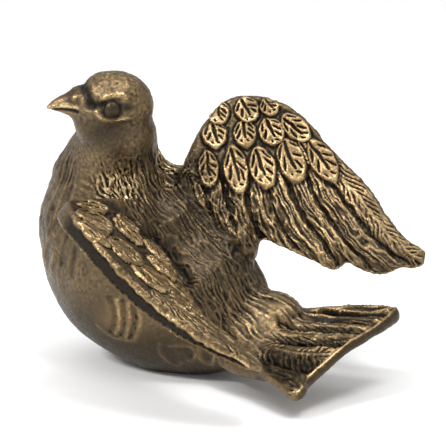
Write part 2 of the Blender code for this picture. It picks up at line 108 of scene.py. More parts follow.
# The skull and the jaw are egg shapes in the head's own frame, whose beak points to -X
HEAD_CENTRE = (9.0, 0.0, 64.2)
SKULL_CENTRE = (-0.8, 0.0, 0.0)
SKULL_RADII = (14.0, 11.0, 12.0)
JAW_CENTRE = (-5.6, 0.0, -6.0)
JAW_RADII = (9.0, 8.5, 8.5)
# Rings of the beak: forward of the head centre, height, half height, half width
BEAK_RINGS = (
    (8.5, 1.4, 7.4, 6.4),
    (11.4, 1.2, 7.0, 5.4),
    (14.4, 0.8, 5.5, 4.2),
    (17.2, 0.3, 3.9, 3.2),
    (20.0, 0.1, 2.8, 2.4),
    (22.4, -0.5, 1.8, 1.7),
    (23.9, -1.0, 1.1, 1.0),
)
EYE_PLACE = (-0.9, 9.2, -0.1)
EYE_RADIUS = 2.8

# The wing's own frame: its root corner, the way to its tip, out of its back, and to its leading edge
WING_ROOT = Vector((14.2, 17.0, 33.1))
WING_SPAN = Vector((0.899, 0.249, -0.360)).normalized()
WING_UP = WING_SPAN.cross(Vector((0.052, 0.756, 0.653))).normalized()
WING_CHORD = WING_UP.cross(WING_SPAN)
# The wing's outline by its side, 1 for the right: its root from below, its leading and its trailing edge
ROOT_EDGE = ((3.0, -10.0), (2.6, 0.0), (1.8, 10.0))
LEADING_EDGES = {
    1.0: (
        (1.8, 19.0), (5.0, 27.8), (12.0, 32.3), (20.5, 34.3), (30.4, 33.3), (40.1, 29.3), (50.1, 23.8),
        (65.0, 16.9), (82.8, 4.8), (94.4, 1.4),
    ),
    -1.0: (
        (1.8, 19.0), (5.0, 27.8), (12.0, 32.3), (20.5, 34.3), (30.4, 33.0), (40.1, 28.9), (50.1, 23.2),
        (65.0, 16.6), (76.0, 10.0), (88.0, 0.6),
    ),
}
TRAILING_EDGES = {
    1.0: (
        (6.0, -16.0), (18.0, -20.0), (28.0, -21.0), (35.5, -17.6), (38.8, -14.4), (47.3, -14.6),
        (57.5, -15.2), (66.4, -15.8), (69.4, -11.4), (76.0, -12.4), (83.6, -11.0), (87.8, -6.6),
        (91.5, -6.2), (95.8, -3.2),
    ),
    -1.0: (
        (5.0, -12.0), (13.0, -11.0), (21.0, -10.0), (30.0, -10.6), (38.0, -9.8), (47.0, -8.8), (56.0, -8.0),
        (65.0, -8.6), (73.0, -10.6), (80.0, -11.2), (85.0, -8.0), (89.0, -3.0),
    ),
}
WING_STEPS = (96, 40)
OUTLINE_STEPS = 400
WING_THICKNESS = 4.4
WING_MIDDLE = (45.0, 10.0)
WING_HALF_SIZE = (45.0, 25.0)
WING_DEPTH = -11.2
SPAN_CUP = 7.2
LEADING_CUP = 8.0
TRAILING_CUP = 4.5
WING_TWIST = 5.1
WING_CAMBER = 5.0
WING_REACH = 96.0
TRAILING_THINNING = 0.4
WING_BLUNTNESS = 0.5
EDGE_SHARES = (0.03, 0.12, 0.03)
# A bar along the leading edge hangs below the wall
BAR_HEIGHT = 4.0
BAR_SPREAD = 0.11
# How steeply the bar grows from the wing's root and sinks towards its tip
BAR_SLOPES = (3.0, 4.0)

# The tail is a fan whose middle line runs from its root to its end: along and height
TAIL_ROOT = (46.0, -18.5)
TAIL_END = (93.0, -19.4)
TAIL_ROOT_HALF = 13.0
TAIL_END_HALF = 29.0
TAIL_SWING = 2.2
# How far each place of the tail's end falls short of its full length: share of the half width, and the gap
TAIL_GAPS = (
    (-1.0, 3.0), (-0.94, 0.4), (-0.82, 0.8), (-0.7, 2.8), (-0.5, 2.6), (-0.2, 1.4), (0.2, 0.2), (0.6, 0.0),
    (0.85, 0.4), (0.96, 0.6), (1.0, 2.2),
)
# How much further its underside lies from its middle at the right corner, as a share
TAIL_SWELL = 0.9
TAIL_SWELL_PLACE = (0.4, 1.0)
TAIL_RIDGE = 2.0
TAIL_RIDGE_SPREAD = 0.4
TAIL_ROLL = radians(2.0)
TAIL_BLUNTNESS = 0.5
TAIL_EDGE_SHARES = (0.05, 0.02)
TAIL_THICKNESS = 4.2
TAIL_STEPS = (60, 60)

# Valleys between the wings and the back: points of their line on the surface, their depth and spread
VALLEYS = (
    (
        (
            (13.7, 10.0, 37.2), (16.2, 10.9, 33.6), (21.5, 8.9, 31.8), (24.5, 8.4, 27.7), (28.1, 8.0, 23.7),
            (31.7, 7.5, 19.8), (35.3, 7.8, 16.3), (39.4, 7.6, 13.0), (43.0, 7.1, 9.5),
        ),
        2.2,
        3.0,
    ),
    (
        (
            (21.0, -23.6, 42.2), (22.1, -22.0, 40.0), (23.3, -20.2, 37.4), (24.9, -18.2, 33.5),
            (28.8, -17.6, 29.2), (28.4, -14.1, 23.7), (27.8, -10.8, 18.0), (30.2, -10.5, 14.2),
            (33.2, -11.3, 10.8), (37.1, -12.7, 6.7),
        ),
        2.6,
        2.4,
    ),
)

# Leaf-shaped feathers from the lowest to the top one, in the wing's plan: middle, half length and width, lean
RIGHT_LEAVES = (
    (11.5, 1.8, 7.2, 3.9, -62.0), (20.3, 5.4, 9.5, 4.3, -57.0), (28.2, 9.8, 8.6, 4.8, -54.0),
    (40.2, 20.6, 5.6, 3.4, -40.0), (36.6, 15.8, 9.1, 5.0, -49.0), (47.0, 19.6, 9.4, 4.7, -37.0),
    (8.2, 14.2, 5.6, 4.5, -60.0), (17.6, 18.8, 5.6, 4.3, -61.0), (26.0, 23.0, 5.8, 4.7, -49.0),
    (33.6, 27.2, 7.0, 4.2, -24.0), (5.8, 22.6, 5.0, 3.9, -68.0), (15.0, 27.2, 5.2, 4.6, -47.0),
    (21.8, 31.4, 4.0, 3.5, -39.0),
)
LEFT_LEAVES = (
    (41.8, 14.3, 8.8, 7.2, -33.0), (33.2, 0.8, 6.6, 4.0, -37.0), (24.9, -3.0, 6.8, 3.9, -41.0),
    (25.2, 28.0, 7.0, 6.8, -66.0), (30.6, 18.6, 8.2, 7.6, -62.0), (12.9, 4.4, 5.4, 3.4, -60.0),
    (17.6, 7.6, 7.0, 4.2, -34.0), (16.9, 24.1, 8.7, 5.6, -85.0), (8.4, 19.1, 6.8, 3.0, -85.0),
)
LEAF_STEP = 1.0
# Share of a leaf's step in its middle, and what its tip adds. It falls off between these shares of the reach
LEAF_RISE = (0.8, 0.2)
LEAF_EDGE = (1.0, 0.86)
# Its rim's height, place and spread
LEAF_RIM = (0.22, 0.85, 0.1)
# How much narrower its root is, and where that starts and is full
LEAF_ROOT = (0.25, -0.2, -1.0)
# Where its tip begins, and where its cuts end before the rim
LEAF_TIP = (0.35, 0.85)
LEAF_CUT_EDGE = (0.95, 0.82)
LEAF_CUT_DEPTH = 0.75
# A cut is a wedge: the share of its width at its ends, what its middle adds, and the limits of its walls
WEDGE_WIDTHS = (0.4, 0.6)
WEDGE_WALL = (1.35, 0.5)
# A narrow ditch runs round each leaf: its distance from the outline, spread and depth
LEAF_MOAT = (0.45, 0.5, 0.4)
# How far a leaf's random cuts may stray, in shares of its size
CUT_STRAY = 0.07
# Cuts in a leaf: their two ends in shares of its half length and half width, and half their width
LEAF_CUTS = (
    ((-0.85, -0.12), (0.38, 0.05), 0.56),
    ((-0.66, 0.3), (-0.34, 0.78), 0.38),
    ((-0.28, 0.26), (0.02, 0.74), 0.42),
    ((0.08, 0.24), (0.4, 0.6), 0.4),
    ((-0.62, -0.42), (-0.12, -0.74), 0.42),
    ((-0.14, -0.34), (0.36, -0.62), 0.42),
    ((0.52, 0.08), (0.66, 0.3), 0.3),
    ((0.56, -0.3), (0.68, -0.22), 0.28),
)

# Noise fields that bend or roughen a place: size of a swell and height
LEAF_WARP = (2.6, 0.45)
FEATHER_SWAY = (2.2, 1.0)
WING_GRAIN = (0.9, 0.14)
BAR_CRUMBS = ((0.9, 0.25), (2.0, 0.2))

# Shafts of the long feathers in the wing's plan
QUILLS = (
    ((46.0, 21.5), (52.0, 18.2), (58.8, 14.4), (68.0, 9.3), (78.3, 3.2), (86.2, -0.5), (95.0, -2.6)),
    ((44.0, 16.0), (52.6, 8.1), (66.1, -1.1), (75.4, -5.2), (87.0, -8.4)),
    ((40.0, 11.5), (49.0, 3.0), (58.0, -3.5), (66.0, -8.6), (72.0, -12.5)),
    ((34.0, 7.0), (42.0, -1.0), (50.0, -7.5), (58.0, -12.2), (64.0, -16.0)),
    ((28.0, 3.0), (34.0, -5.0), (40.0, -11.0), (48.0, -18.0)),
    ((22.0, 0.0), (27.5, -8.0), (32.0, -13.5), (38.0, -21.0)),
    ((15.0, -2.0), (20.0, -9.5), (25.0, -16.0), (29.0, -22.0)),
    ((8.0, -4.0), (13.0, -11.0), (17.0, -17.0), (20.0, -22.0)),
)
QUILL_STYLES = ("barbs", "strands", "strands", "strands", "strands", "strands", "strands", "strands")
# The line below the leaves where the long feathers come out, in the wing's plan, by the wing's side
QUILL_TOPS = {
    1.0: (
        (0.0, -3.0), (12.0, 0.5), (21.0, 3.5), (29.0, 8.0), (38.0, 13.0), (46.0, 18.0), (53.0, 23.0),
        (58.0, 40.0),
    ),
    -1.0: ((0.0, -9.0), (25.0, -5.0), (33.0, -1.0), (41.0, 8.0), (47.0, 14.0), (52.0, 22.0), (55.0, 40.0)),
}
QUILL_STEP = 0.7
# Depth and spread of the grooves between feathers
QUILL_GROOVE = (1.6, 0.8)
QUILL_SHAFT = 0.25
BARB_PITCH = 3.4
BARB_DEPTH = 0.6
STRAND_HEIGHT = 1.15
# Two sizes of strands: their length and spacing, how far they wander, and their share of the height
STRAND_SIZES = ((13.0, 1.6, 0.8, 0.6), (6.5, 1.0, 0.9, 0.4))
# Size of the bends that they follow, along the feather and across it
STRAND_BEND = (6.0, 5.0)
# The lines' length and spacing
LINE_SIZE = (16.0, 1.35)
# How far a feather's border wanders, and where its web is full, inside the border and beside the shaft
BORDER_WANDER = 0.3
BORDER_EDGE = (0.15, 0.7)
SHAFT_EDGE = (0.5, 1.0)
SHAFT_SPREAD = 0.4
# Sets the strands of neighbouring feathers apart
FEATHER_SHIFT = 11.0
# Where cuts are worn off: size of these places along and across, and limits of their noise
BARB_WEAR_SIZE = (3.5, 2.0)
BARB_WEAR = (-0.7, 0.3)
LINE_HEIGHT = 0.8
RIB_PITCH = 2.1
# Mean of the strands' own height
STRAND_LEVEL = 0.55
# Height of the strands on the plain ground among the leaves, and how much shorter they are
GROUND_STRANDS = 0.3
GROUND_SHORTENING = 1.2
# Level of a wing's relief that lies on its smooth wall, and how much fainter the underside is
RELIEF_LEVEL = 0.35
UNDERSIDE_SHARE = 0.45
CHANNEL_DEPTH = 1.1
# Limits of the channel on the bar's front: where each starts and is full over the wall's face, and its wander
CHANNEL_LIMITS = ((-8.4, -7.4, 0.2), (-2.2, -3.4, 0.8))
CRUMB_LIMITS = (-4.0, -2.5)
# Worn lines beside the channel: how far under the wall's face, how far they wander, and their spread
WORN_LINES = ((1.9, 0.5, 0.7), (8.8, 0.0, 0.5))
# Where the long feathers take over below the leaves
QUILL_FADE = (1.5, -1.5)
TIP_WEAR = (50.0, 80.0)
# Where a wing's places are looked for: along the span, across it, and over the wall's face
WING_SEARCH = ((-4.0, WING_REACH + 4.0), (-30.0, 42.0), (-10.5, 4.0))
# Regions of the carving: a measure, where it starts and where it is full
WING_SPAN_LIMITS = (("span", 0.0, 3.5), ("span", WING_REACH + 1.0, WING_REACH - 1.5))
WING_REGIONS = {
    "back": WING_SPAN_LIMITS + (
        ("off valley", 0.5, 3.0), ("gap", 2.6, 1.4), ("gap", -4.5, -3.0), ("up", 0.25, 0.6),
    ),
    "underside": WING_SPAN_LIMITS + (("gap", -2.0, -3.0), ("down", 0.25, 0.6)),
    "bar": (
        ("ahead", 0.3, 0.65), ("chord", 0.8, 0.92), ("span", 12.0, 18.0),
        ("span", WING_REACH, WING_REACH - 6.0),
    ),
    "behind the bar": (("chord", 1.0, 0.95),),
    "under the wall": (("chord", 0.9, 0.8),),
}

# Shafts of the tail feathers, along and to the bird's right
TAIL_SHAFTS = (
    ((52.0, 13.5), (70.0, 19.5), (94.0, 27.0)),
    ((52.0, 9.5), (70.0, 14.5), (94.0, 20.5)),
    ((50.0, 3.0), (60.0, 4.5), (76.0, 9.2), (94.0, 14.2)),
    ((50.0, -4.0), (60.0, -3.0), (78.0, 1.5), (94.0, 7.4)),
    ((52.0, -9.5), (60.0, -9.5), (78.0, -8.0), (94.0, -3.5)),
    ((54.0, -16.0), (64.0, -20.0), (78.0, -23.0), (94.0, -24.5)),
)
TAIL_STYLES = ("lines", "lines", "barbs", "barbs", "ribs", "strands")
TAIL_STEP = 1.3
TAIL_GROOVE = (1.6, 1.2)
TAIL_SWAY = (2.3, 1.0)
# Share of the feathers' height that the tail takes, and the level of it that lies on the smooth wall
TAIL_RELIEF = (1.5, 0.4)
# The raised rim round the end: its distance from the end, spread and height
TAIL_RIM = (1.0, 0.6, 0.25)
# Height of the feathers below which shade is painted on their lower halves, where they lie under their
# neighbours, on the wings and on the tail
WING_SHADE_BELOW = (0.2, -0.4)
TAIL_SHADE_BELOW = (0.75, 0.0)
# Least share of the length, and largest rise and share of the half width, of a place on the tail
TAIL_SEARCH = (0.05, 8.0, 1.3)
TAIL_REGIONS = {
    "tail": (("length", 0.3, 0.5), ("level", 1.3, 0.8)),
    "inside the rim": (("end", 1.2, 2.6), ("aside", 1.0, 0.93)),
    "up": (("up", 0.25, 0.6),),
    "down": (("down", 0.25, 0.6),),
    "end face": (("back", 0.5, 0.8), ("length", 0.85, 0.95)),
    "left corner": (("across", -0.25, -0.6),),
}

# Carved lines on the belly, seen from its side: along and height, from one end to the other
CRESCENTS = (
    ((14.5, 4.1), (15.4, -0.5), (14.1, -5.4), (10.9, -9.9)),
    ((18.5, 2.6), (18.7, -0.6), (17.7, -5.3), (14.9, -10.5)),
    ((22.4, 1.0), (22.2, -3.0), (21.1, -7.6), (18.4, -12.0)),
)
CRESCENT_RIDGES = (
    ((17.3, 3.4), (17.2, -1.0), (16.2, -5.8), (12.9, -10.4)),
    ((20.9, 1.8), (20.7, -2.2), (19.6, -6.8), (16.8, -11.6)),
    ((24.4, 0.4), (24.2, -3.6), (23.2, -8.0), (20.4, -12.8)),
    ((6.5, -7.5), (9.5, -11.0), (14.5, -12.6), (20.4, -12.8)),
)
BELLY_LOOPS = (
    ((29.3, -13.6), (27.5, -18.2), (28.8, -22.6), (30.7, -24.7), (33.7, -22.6)),
    ((33.0, -14.5), (37.6, -14.8), (40.3, -17.6), (38.3, -21.5), (35.7, -21.9)),
    ((41.4, -16.8), (40.6, -21.1), (41.8, -24.4), (44.3, -22.7), (46.0, -20.0)),
)
BELLY_HOLLOWS = ((31.3, -18.3, 1.9, 3.2), (37.8, -18.2, 1.6, 2.4), (42.6, -20.4, 1.3, 2.2))
BREAST_DENT = ((0.5, 21.2), (-0.1, 16.5), (-1.2, 11.5))
# Spread of the ridges and of the dent, and how far a crescent reaches, and a hollow in its own size
RIDGE_SPREAD = 0.85
DENT_SPREAD = 1.5
CRESCENT_REACH = (1.6, 0.5)
HOLLOW_REACH = (1.5, 0.6)
RIDGE_HEIGHT = 0.28
CRESCENT_DEPTH = 0.3
DENT_DEPTH = 0.5
# The flanks' carvings lie ahead of this, below this, and no further than this from the middle
FLANK_SEARCH = (60.0, 26.0, 36.0)
FLANK_WARP = (4.0, 0.4)
BODY_GRAIN = (0.95, 0.1)
BODY_SWELL = (5.0, 0.16)

# Streaks on the body are strands like those of the long feathers, but shorter, longer or wider.
# The back's run down the first way, and its surface faces the second
BACK_RUN = (0.62, 0.0, -0.78)
BACK_WAY = (0.75, 0.0, 0.66)
BACK_BEND = (9.0, 1.5)
BACK_SHORTENING = 1.7
# The rump's fan out from a point: its place along, the distance of their own width, and the least one
RUMP_FAN = (20.0, 40.0, 10.0)
RUMP_WIDENING = 1.9
RUMP_WAVE = (6.0, 0.8)
# They stand in chunks: the chunks' size, limits of their noise, and the streaks' least height and its rise
RUMP_CHUNKS = ((5.0, 3.0, 5.0), (-0.5, 0.3), (0.5, 0.8))
# The breast's hang round an upright axis: its place along, and the radius at which they have their own width
BREAST_AXIS = (15.0, 22.0)
# How much longer and wider they are
BREAST_STRETCH = (1.3, 1.7)
BREAST_CHUNKS = (5.0, (-0.4, 0.4), (0.4, 0.8))
# The neck's are short and nearly as wide
NECK_SHORTENING = 2.6
NECK_NARROWING = 0.84
STREAK_HEIGHTS = {"back": 0.8, "neck": 0.9}
BODY_REGIONS = {
    "back": (("backwards", 0.15, 0.55), ("away", 22.0, 16.0), ("height", 50.0, 42.0), ("along", 56.0, 46.0)),
    "rump": (
        ("along", 42.0, 50.0), ("along", 70.0, 62.0), ("up", 0.0, 0.4), ("away", 20.0, 15.0),
        ("height", -26.0, -20.0),
    ),
    "breast": (("along", 1.0, -7.0), ("height", 2.0, 12.0), ("height", 54.0, 46.0)),
    "belly": (("height", 20.0, 10.0), ("up", 0.3, -0.2), ("along", 46.0, 38.0)),
    "flanks": (("sideways", 0.25, 0.6), ("away", 10.0, 14.0)),
}
# Patches with soft edges: middle and radii. On the neck they hold streaks rubbed bright with painted glints;
# on the flank, a painted pool of light
NECK_STREAKS_AND_GLINTS = ((12.5, 11.0, 38.5), (7.0, 8.0, 9.0))
FLANK_PAINTED_LIGHT = ((17.0, -4.0), (10.0, 8.0))

# Carved lines on the side of the head, in its own frame: along and height, the line's steps and its spread
FACE_LINES = {
    "lore": (((-4.0, 1.5), (-5.8, 1.4), (-8.6, 1.3)), 10, 1.7),
    "beak groove": (((-11.6, 8.0), (-10.5, 6.0), (-9.3, 3.4), (-8.4, 1.2)), 16, 1.9),
    "lid": (((-6.6, -0.6), (-5.2, -2.2), (-3.5, -3.4), (-1.2, -3.9), (1.2, -3.6), (4.4, -3.2)), 20, 0.8),
    "brow": (((-4.4, 2.6), (-2.8, 3.9), (-0.2, 4.9), (2.2, 4.9), (4.0, 4.0)), 20, 1.0),
    "beak edge": (((-23.4, -0.9), (-20.6, -0.4), (-17.3, 0.1), (-13.0, 0.0)), 16, 0.7),
    "beak slit": (((-23.0, -2.0), (-20.9, -1.5), (-17.4, -1.35), (-13.0, -1.6)), 16, 0.55),
}
# Height of each shape of the face
FACE_HEIGHTS = {
    "socket": -0.5, "eye corner": -0.7, "lore": -0.9, "beak groove": -1.1, "lid": 0.45, "brow": 0.6,
    "nostril": -0.5, "beak edge": 0.35, "beak slit": -0.6,
}
FACE_REGIONS = {
    "head": (("from middle", 26.0, 23.0),),
    "side": (("from middle", 26.0, 23.0), ("aside", 3.0, 6.0)),
    "over the gape": (("height", -2.5, 0.0),),
    "beak": (("along", -11.5, -13.0), ("from middle", 26.0, 23.0)),
    "beak ridge": (("height", 1.0, 2.0), ("along", -20.5, -17.0)),
    "beak tip": (("along", -19.0, -21.5),),
    "crown": (("height", 2.0, 6.0), ("along", -11.0, -8.0)),
    "behind the tip": (("along", -22.0, -14.0),),
    "eyeball": (("to eye", 0.5, 0.1),),
}
# The sunk ring round the eyeball: its distance and spread
SOCKET = (0.7, 0.8)
# Patches of the face: middle, radii and spread
EYE_CORNER = ((4.4, 0.6), (2.3, 1.7), 0.9)
NOSTRIL = ((-12.2, 4.7, 2.3), 1.0, 0.8)
# The cheek's patch is painted shade on the lower side of the head
CHEEK_PAINTED_SHADE = ((-4.0, -8.5), (10.0, 6.5), 1.0)
# Knobs beside the nostril: middle, size and height
NOSTRIL_KNOBS = (((-13.8, 4.0, 3.0), 1.35, 0.9), ((-11.2, 5.1, 1.5), 0.8, 0.5))
# Size of the grains on the head, their height, and how much higher they are on the crown
HEAD_GRAIN = (0.85, 0.1, 0.09)
LORE_DARKENING = 1.3

# How rubbed each place is: 0 keeps its patina, and 1 and more is bare metal on its high places. Rubbing past
# 1 on leaf tips, the neck, lids, brows and the beak's edge paints highlights along with their wear, and the
# low rubbing of the belly and cheek paints shade
START_RUB = 0.5
RUB = {
    "wing": 0.6, "long feathers": 1.0, "wing tip": 0.55, "leaf": 0.95, "leaf tip": 1.35, "bar": 0.5,
    "worn line": 1.2, "channel": 0.1, "tail": 0.85, "tail rim": 1.1, "belly": 0.35, "back": 0.5, "rump": 0.8,
    "breast": 0.7, "neck": 2.8, "carved ridge": 0.9, "head": 0.6, "crown": 0.7, "cheek painted shade": 0.15, "lid": 1.4,
    "brow": 1.3, "knobs": 0.9, "beak edge": 1.4, "eyeball": 0.3,
}
# How golden it is all over, also in its low places. On lids, brows and the beak's edge this paints highlights
# along with their wear, and on the flank a pool of light
GILD = {
    "right leaf": 0.45, "left leaf": 0.95, "leaf tip": 0.35, "worn line": 0.75, "carved ridge": 0.5,
    "neck": 0.55, "flank": 0.5, "crown": 0.25, "lid": 1.0, "brow": 0.85, "knobs": 0.7, "beak edge": 1.1,
    "beak tip": 0.6,
}
# How black it is: patina in carved cuts and hollows, and painted shade in the valleys, under the belly and
# cheeks, on the tail's end and left corner, and on the lower halves of overlapping feathers
DARK_PATINA_AND_SHADE = {
    "valley": 0.6, "channel": 0.85, "bar": 0.35, "leaf cut": 0.9, "leaf moat": 0.6, "wing ground": 0.45,
    "wing furrow": 0.8, "low strands": 0.6, "tail end painted shade": 0.75, "tail corner painted shade": 0.8, "tail": 0.35,
    "tail furrow patina and shade": 0.6, "back": 0.4, "breast": 0.25, "belly": 0.45, "crescent": 0.45, "dent": 0.3,
    "face": 0.95, "socket": 0.9, "eye corner": 0.8, "eyeball": 0.7, "beak ridge": 0.5, "cheek painted shade": 0.45,
}
# The valleys' dark patina and painted shade spread wider than they are
VALLEY_PATINA_AND_SHADE_SPREAD = 1.5

# What the finish reads of the mesh, and how often it is smoothed to read its near and its far hollows
READINGS = ("near_hollow", "far_hollow", "rubbed", "golden", "patina_and_shade_dark")
READING_PASSES = (5, 60)
# Swells to a metre in the cast grain and in the clouds of the patina, and how finely both are broken up
GRAIN_SCALE = 1500.0
CLOUD_SCALE = 180.0
NOISE_DETAIL = 3.0
GRAIN_STRENGTH = 0.9
# Ranges of the finish: the reading where each starts and ends, and what it gives there
CUT_RANGE = (-0.01, 0.12, 0.0, 1.0)
CREASE_RANGE = (0.15, 1.2, 0.0, 0.85)
HIGH_RANGE = (0.04, -0.1, 0.1, 1.0)
CLOUD_RANGE = (0.35, 0.65, 0.65, 1.2)
SPECKLE_RANGE = (0.35, 0.65, 0.7, 1.3)
GOLD_RANGE = (0.0, 1.0, 0.0, 1.0)
BARE_AND_GLINT_RANGE = (0.85, 1.5, 0.0, 1.0)
METAL_RANGE = (0.0, 1.0, 0.75, 1.0)
ROUGHNESS_RANGE = (0.0, 1.0, 0.46, 0.31)

LEAN = Matrix.Rotation(BODY_LEAN, 4, "X")
HEAD_FRAME = Matrix.Translation(LEAN @ (Vector(HEAD_CENTRE) * MM)) @ Matrix.Rotation(HEAD_TURN, 4, "Z")

# Picture: the camera's bearing, height and distance, and what it looks at, seen from the form's origin
CAMERA_BEARING = radians(43.9)
CAMERA_HEIGHT = radians(12.0)
CAMERA_DISTANCE = 0.75
CAMERA_LENS = 167.1
SENSOR_WIDTH = 36.0
CENTRE_RIGHT = 0.02935
CENTRE_UP = 0.01413
FLOOR_HALF_SIZE = 4.0
FLOOR_ROUGHNESS = 0.9
WHITE = (1.0, 1.0, 1.0, 1.0)
ROOM_BRIGHTNESS = 0.72
# Soft lights: place, size, and share of the key light's power. Both aim at the statue's lower half
SOFT_LIGHTS = {
    "key light": ((-0.2, -0.9, 0.85), 0.3, 1.0),
    "top light": ((0.45, -0.1, 1.0), 0.35, 0.45),
}
LIGHT_AIM = (0.0, 0.0, 0.05)
CEILING_BRIGHTNESS = 0.9
CEILING_SPREAD = radians(60.0)


def linear(code):
    """Linear colour of an sRGB hex code, with full alpha."""
    parts = [int(code[k : k + 2], 16) / 255.0 for k in (1, 3, 5)]
    return [c / 12.92 if c <= 0.04045 else ((c + 0.055) / 1.055) ** 2.4 for c in parts] + [1.0]


class DoveSettings(bpy.types.PropertyGroup):
    """Sizes and colours of the casting."""

    carving: bpy.props.FloatProperty(
        name="Carving", description="Depth of the carved feathers, as a share of the real one", default=1.0
    )
    grain: bpy.props.FloatProperty(
        name="Grain", description="Height of the cast grain", default=0.00018, unit="LENGTH", precision=5
    )
    patina: bpy.props.FloatVectorProperty(
        name="Patina", description="Dark brown patina on open places", subtype="COLOR", size=4,
        default=linear("#4c4131"),
    )
    # Also the colour of the painted shade in the valleys, under the belly and cheeks, on the tail and under
    # overlapping feathers
    hollow: bpy.props.FloatVectorProperty(
        name="Hollows", description="Nearly black patina in the cuts", subtype="COLOR", size=4,
        default=linear("#16120d"),
    )
    rubbed: bpy.props.FloatVectorProperty(
        name="Rubbed", description="Golden metal where the patina is rubbed off", subtype="COLOR", size=4,
        default=linear("#a2875f"),
    )
    # Also paints the highlights on leaf tips, the neck, lids, brows and the beak's edge
    polished_and_glints: bpy.props.FloatVectorProperty(
        name="Polished", description="Pale metal on the most worn ridges", subtype="COLOR", size=4,
        default=linear("#cfb78d"),
    )


class StudioSettings(bpy.types.PropertyGroup):
    """Floor and light."""

    floor_colour: bpy.props.FloatVectorProperty(
        name="Floor", description="Pale floor and backdrop", subtype="COLOR", size=4,
        default=linear("#f4f4f4"),
    )
    key_power: bpy.props.FloatProperty(
        name="Key light", description="Power of the soft light on the left", default=9.0, unit="POWER"
    )


def smooth_step(low, high, value):
    """0 below low, 1 above high, and smooth between."""
    t = np.clip((value - low) / (high - low), 0.0, 1.0)
    return t * t * (3.0 - 2.0 * t)


def bump(value, spread):
    """1 at zero, falling to nothing over about twice the spread."""
    return np.exp(-((value / spread) ** 2))


def along(values, count):
    """Points of a smooth curve through the given ones, evenly spread over their spans."""
    values = np.asarray(values, float)
    padded = np.vstack([2 * values[0] - values[1], values, 2 * values[-1] - values[-2]])
    place = np.linspace(0.0, len(values) - 1.0, count)
    span = np.minimum(place.astype(int), len(values) - 2)
    t = (place - span)[:, None]
    a, b, c, d = (padded[span + k] for k in range(4))
    return 0.5 * (2 * b + (c - a) * t + (2 * a - 5 * b + 4 * c - d) * t**2 + (3 * b - a - 3 * c + d) * t**3)


def noise(points, seed=0):
    """Smooth noise between -1 and 1, with one swell to a unit."""
    cell = np.floor(points).astype(np.int64)
    part = points - cell
    part = part * part * (3.0 - 2.0 * part)
    total = np.zeros(len(points))
    for corner in range(8):
        step = np.array([corner & 1, corner >> 1 & 1, corner >> 2 & 1])
        x, y, z = (cell + step).T
        code = (x * 73856093) ^ (y * 19349663) ^ (z * 83492791) ^ (seed * 2654435761)
        code = (code ^ (code >> 13)) * 1274126177
        value = ((code ^ (code >> 16)) & 65535) / 32767.5 - 1.0
        total += value * np.prod(np.where(step == 1, part, 1.0 - part), axis=1)
    return total


def mottle(points, field, seed):
    """Noise with a field's size and height."""
    size, height = field
    return height * noise(points / size, seed)


def region(limits, measures):
    """How far places lie in a region, 0 to 1: its limits give a measure, its start and where it is full."""
    share = 1.0
    for measure, start, full in limits:
        share = share * smooth_step(start, full, measures[measure])
    return share


def patch(points, middle, radii, spread=1.0):
    """1 in the middle of a patch, falling off round it."""
    return bump(np.linalg.norm((points - np.array(middle)) / radii, axis=1), spread)


def line_distance(points, line):
    """For points in a plane: their distance from a line of points, signed by side, and the way along it."""
    best = np.full(len(points), 1e9)
    side = np.zeros(len(points))
    run = np.zeros(len(points))
    start = 0.0
    line = np.asarray(line, float)
    for a, b in zip(line, line[1:]):
        way = b - a
        length = np.hypot(*way)
        way = way / length
        rel = points - a
        t = np.clip(rel @ way, 0.0, length)
        gap = rel - t[:, None] * way
        distance = np.hypot(gap[:, 0], gap[:, 1])
        nearer = distance < best
        best = np.where(nearer, distance, best)
        side = np.where(nearer, np.sign(way[0] * rel[:, 1] - way[1] * rel[:, 0]), side)
        run = np.where(nearer, start + t, run)
        start += length
    return best, side, run


def drawn(plan, line, steps, spread):
    """1 on a drawn line, falling off to both sides."""
    return bump(line_distance(plan, along(line, steps))[0], spread)


def add_ring(bm, matrix, half_height, half_width):
    """One loop of edges: an ellipse in the YZ plane of the matrix."""
    ring = bmesh.ops.create_circle(bm, cap_ends=False, segments=RING_SIDES, radius=1.0)["verts"]
    stretch = Matrix.Diagonal((1.0, half_width, half_height, 1.0))
    upright = Matrix.Rotation(pi / 2, 4, "Y")
    bmesh.ops.transform(bm, matrix=matrix @ stretch @ upright, verts=ring)
    return list({edge for vert in ring for edge in vert.link_edges})


def loft(rings):
    """A closed body through a row of elliptical rings."""
    bm = bmesh.new()
    loops = [add_ring(bm, *ring) for ring in rings]
    for first, second in zip(loops, loops[1:]):
        bmesh.ops.bridge_loops(bm, edges=first + second)
    bmesh.ops.holes_fill(bm, edges=bm.edges, sides=0)
    bmesh.ops.recalc_face_normals(bm, faces=bm.faces)
    return bm


def body_form():
    """Breast, back, belly and neck in one."""
    rings = []
    for x, z, slope, depth, width in along(BODY_RINGS, RING_STEPS):
        matrix = Matrix.Translation(Vector((x, 0.0, z)) * MM) @ Matrix.Rotation(-radians(slope), 4, "Y")
        rings.append((matrix, depth * MM, width * MM))
    return loft(rings)


def egg_form(centre, radii):
    bm = bmesh.new()
    bmesh.ops.create_icosphere(bm, subdivisions=EGG_SUBDIVISIONS, radius=1.0)
    bmesh.ops.scale(bm, vec=Vector(radii) * MM, verts=bm.verts)
    bmesh.ops.translate(bm, vec=Vector(centre) * MM, verts=bm.verts)
    return bm


def beak_form():
    rings = []
    for forward, height, half_height, half_width in along(BEAK_RINGS, RING_STEPS // 2):
        matrix = Matrix.Translation(Vector((-forward, 0.0, height)) * MM)
        rings.append((matrix, half_height * MM, half_width * MM))
    return loft(rings)


def mirrored(place, side):
    """A place given for the right side, or its twin on the left."""
    return (place[0], side * place[1], place[2])


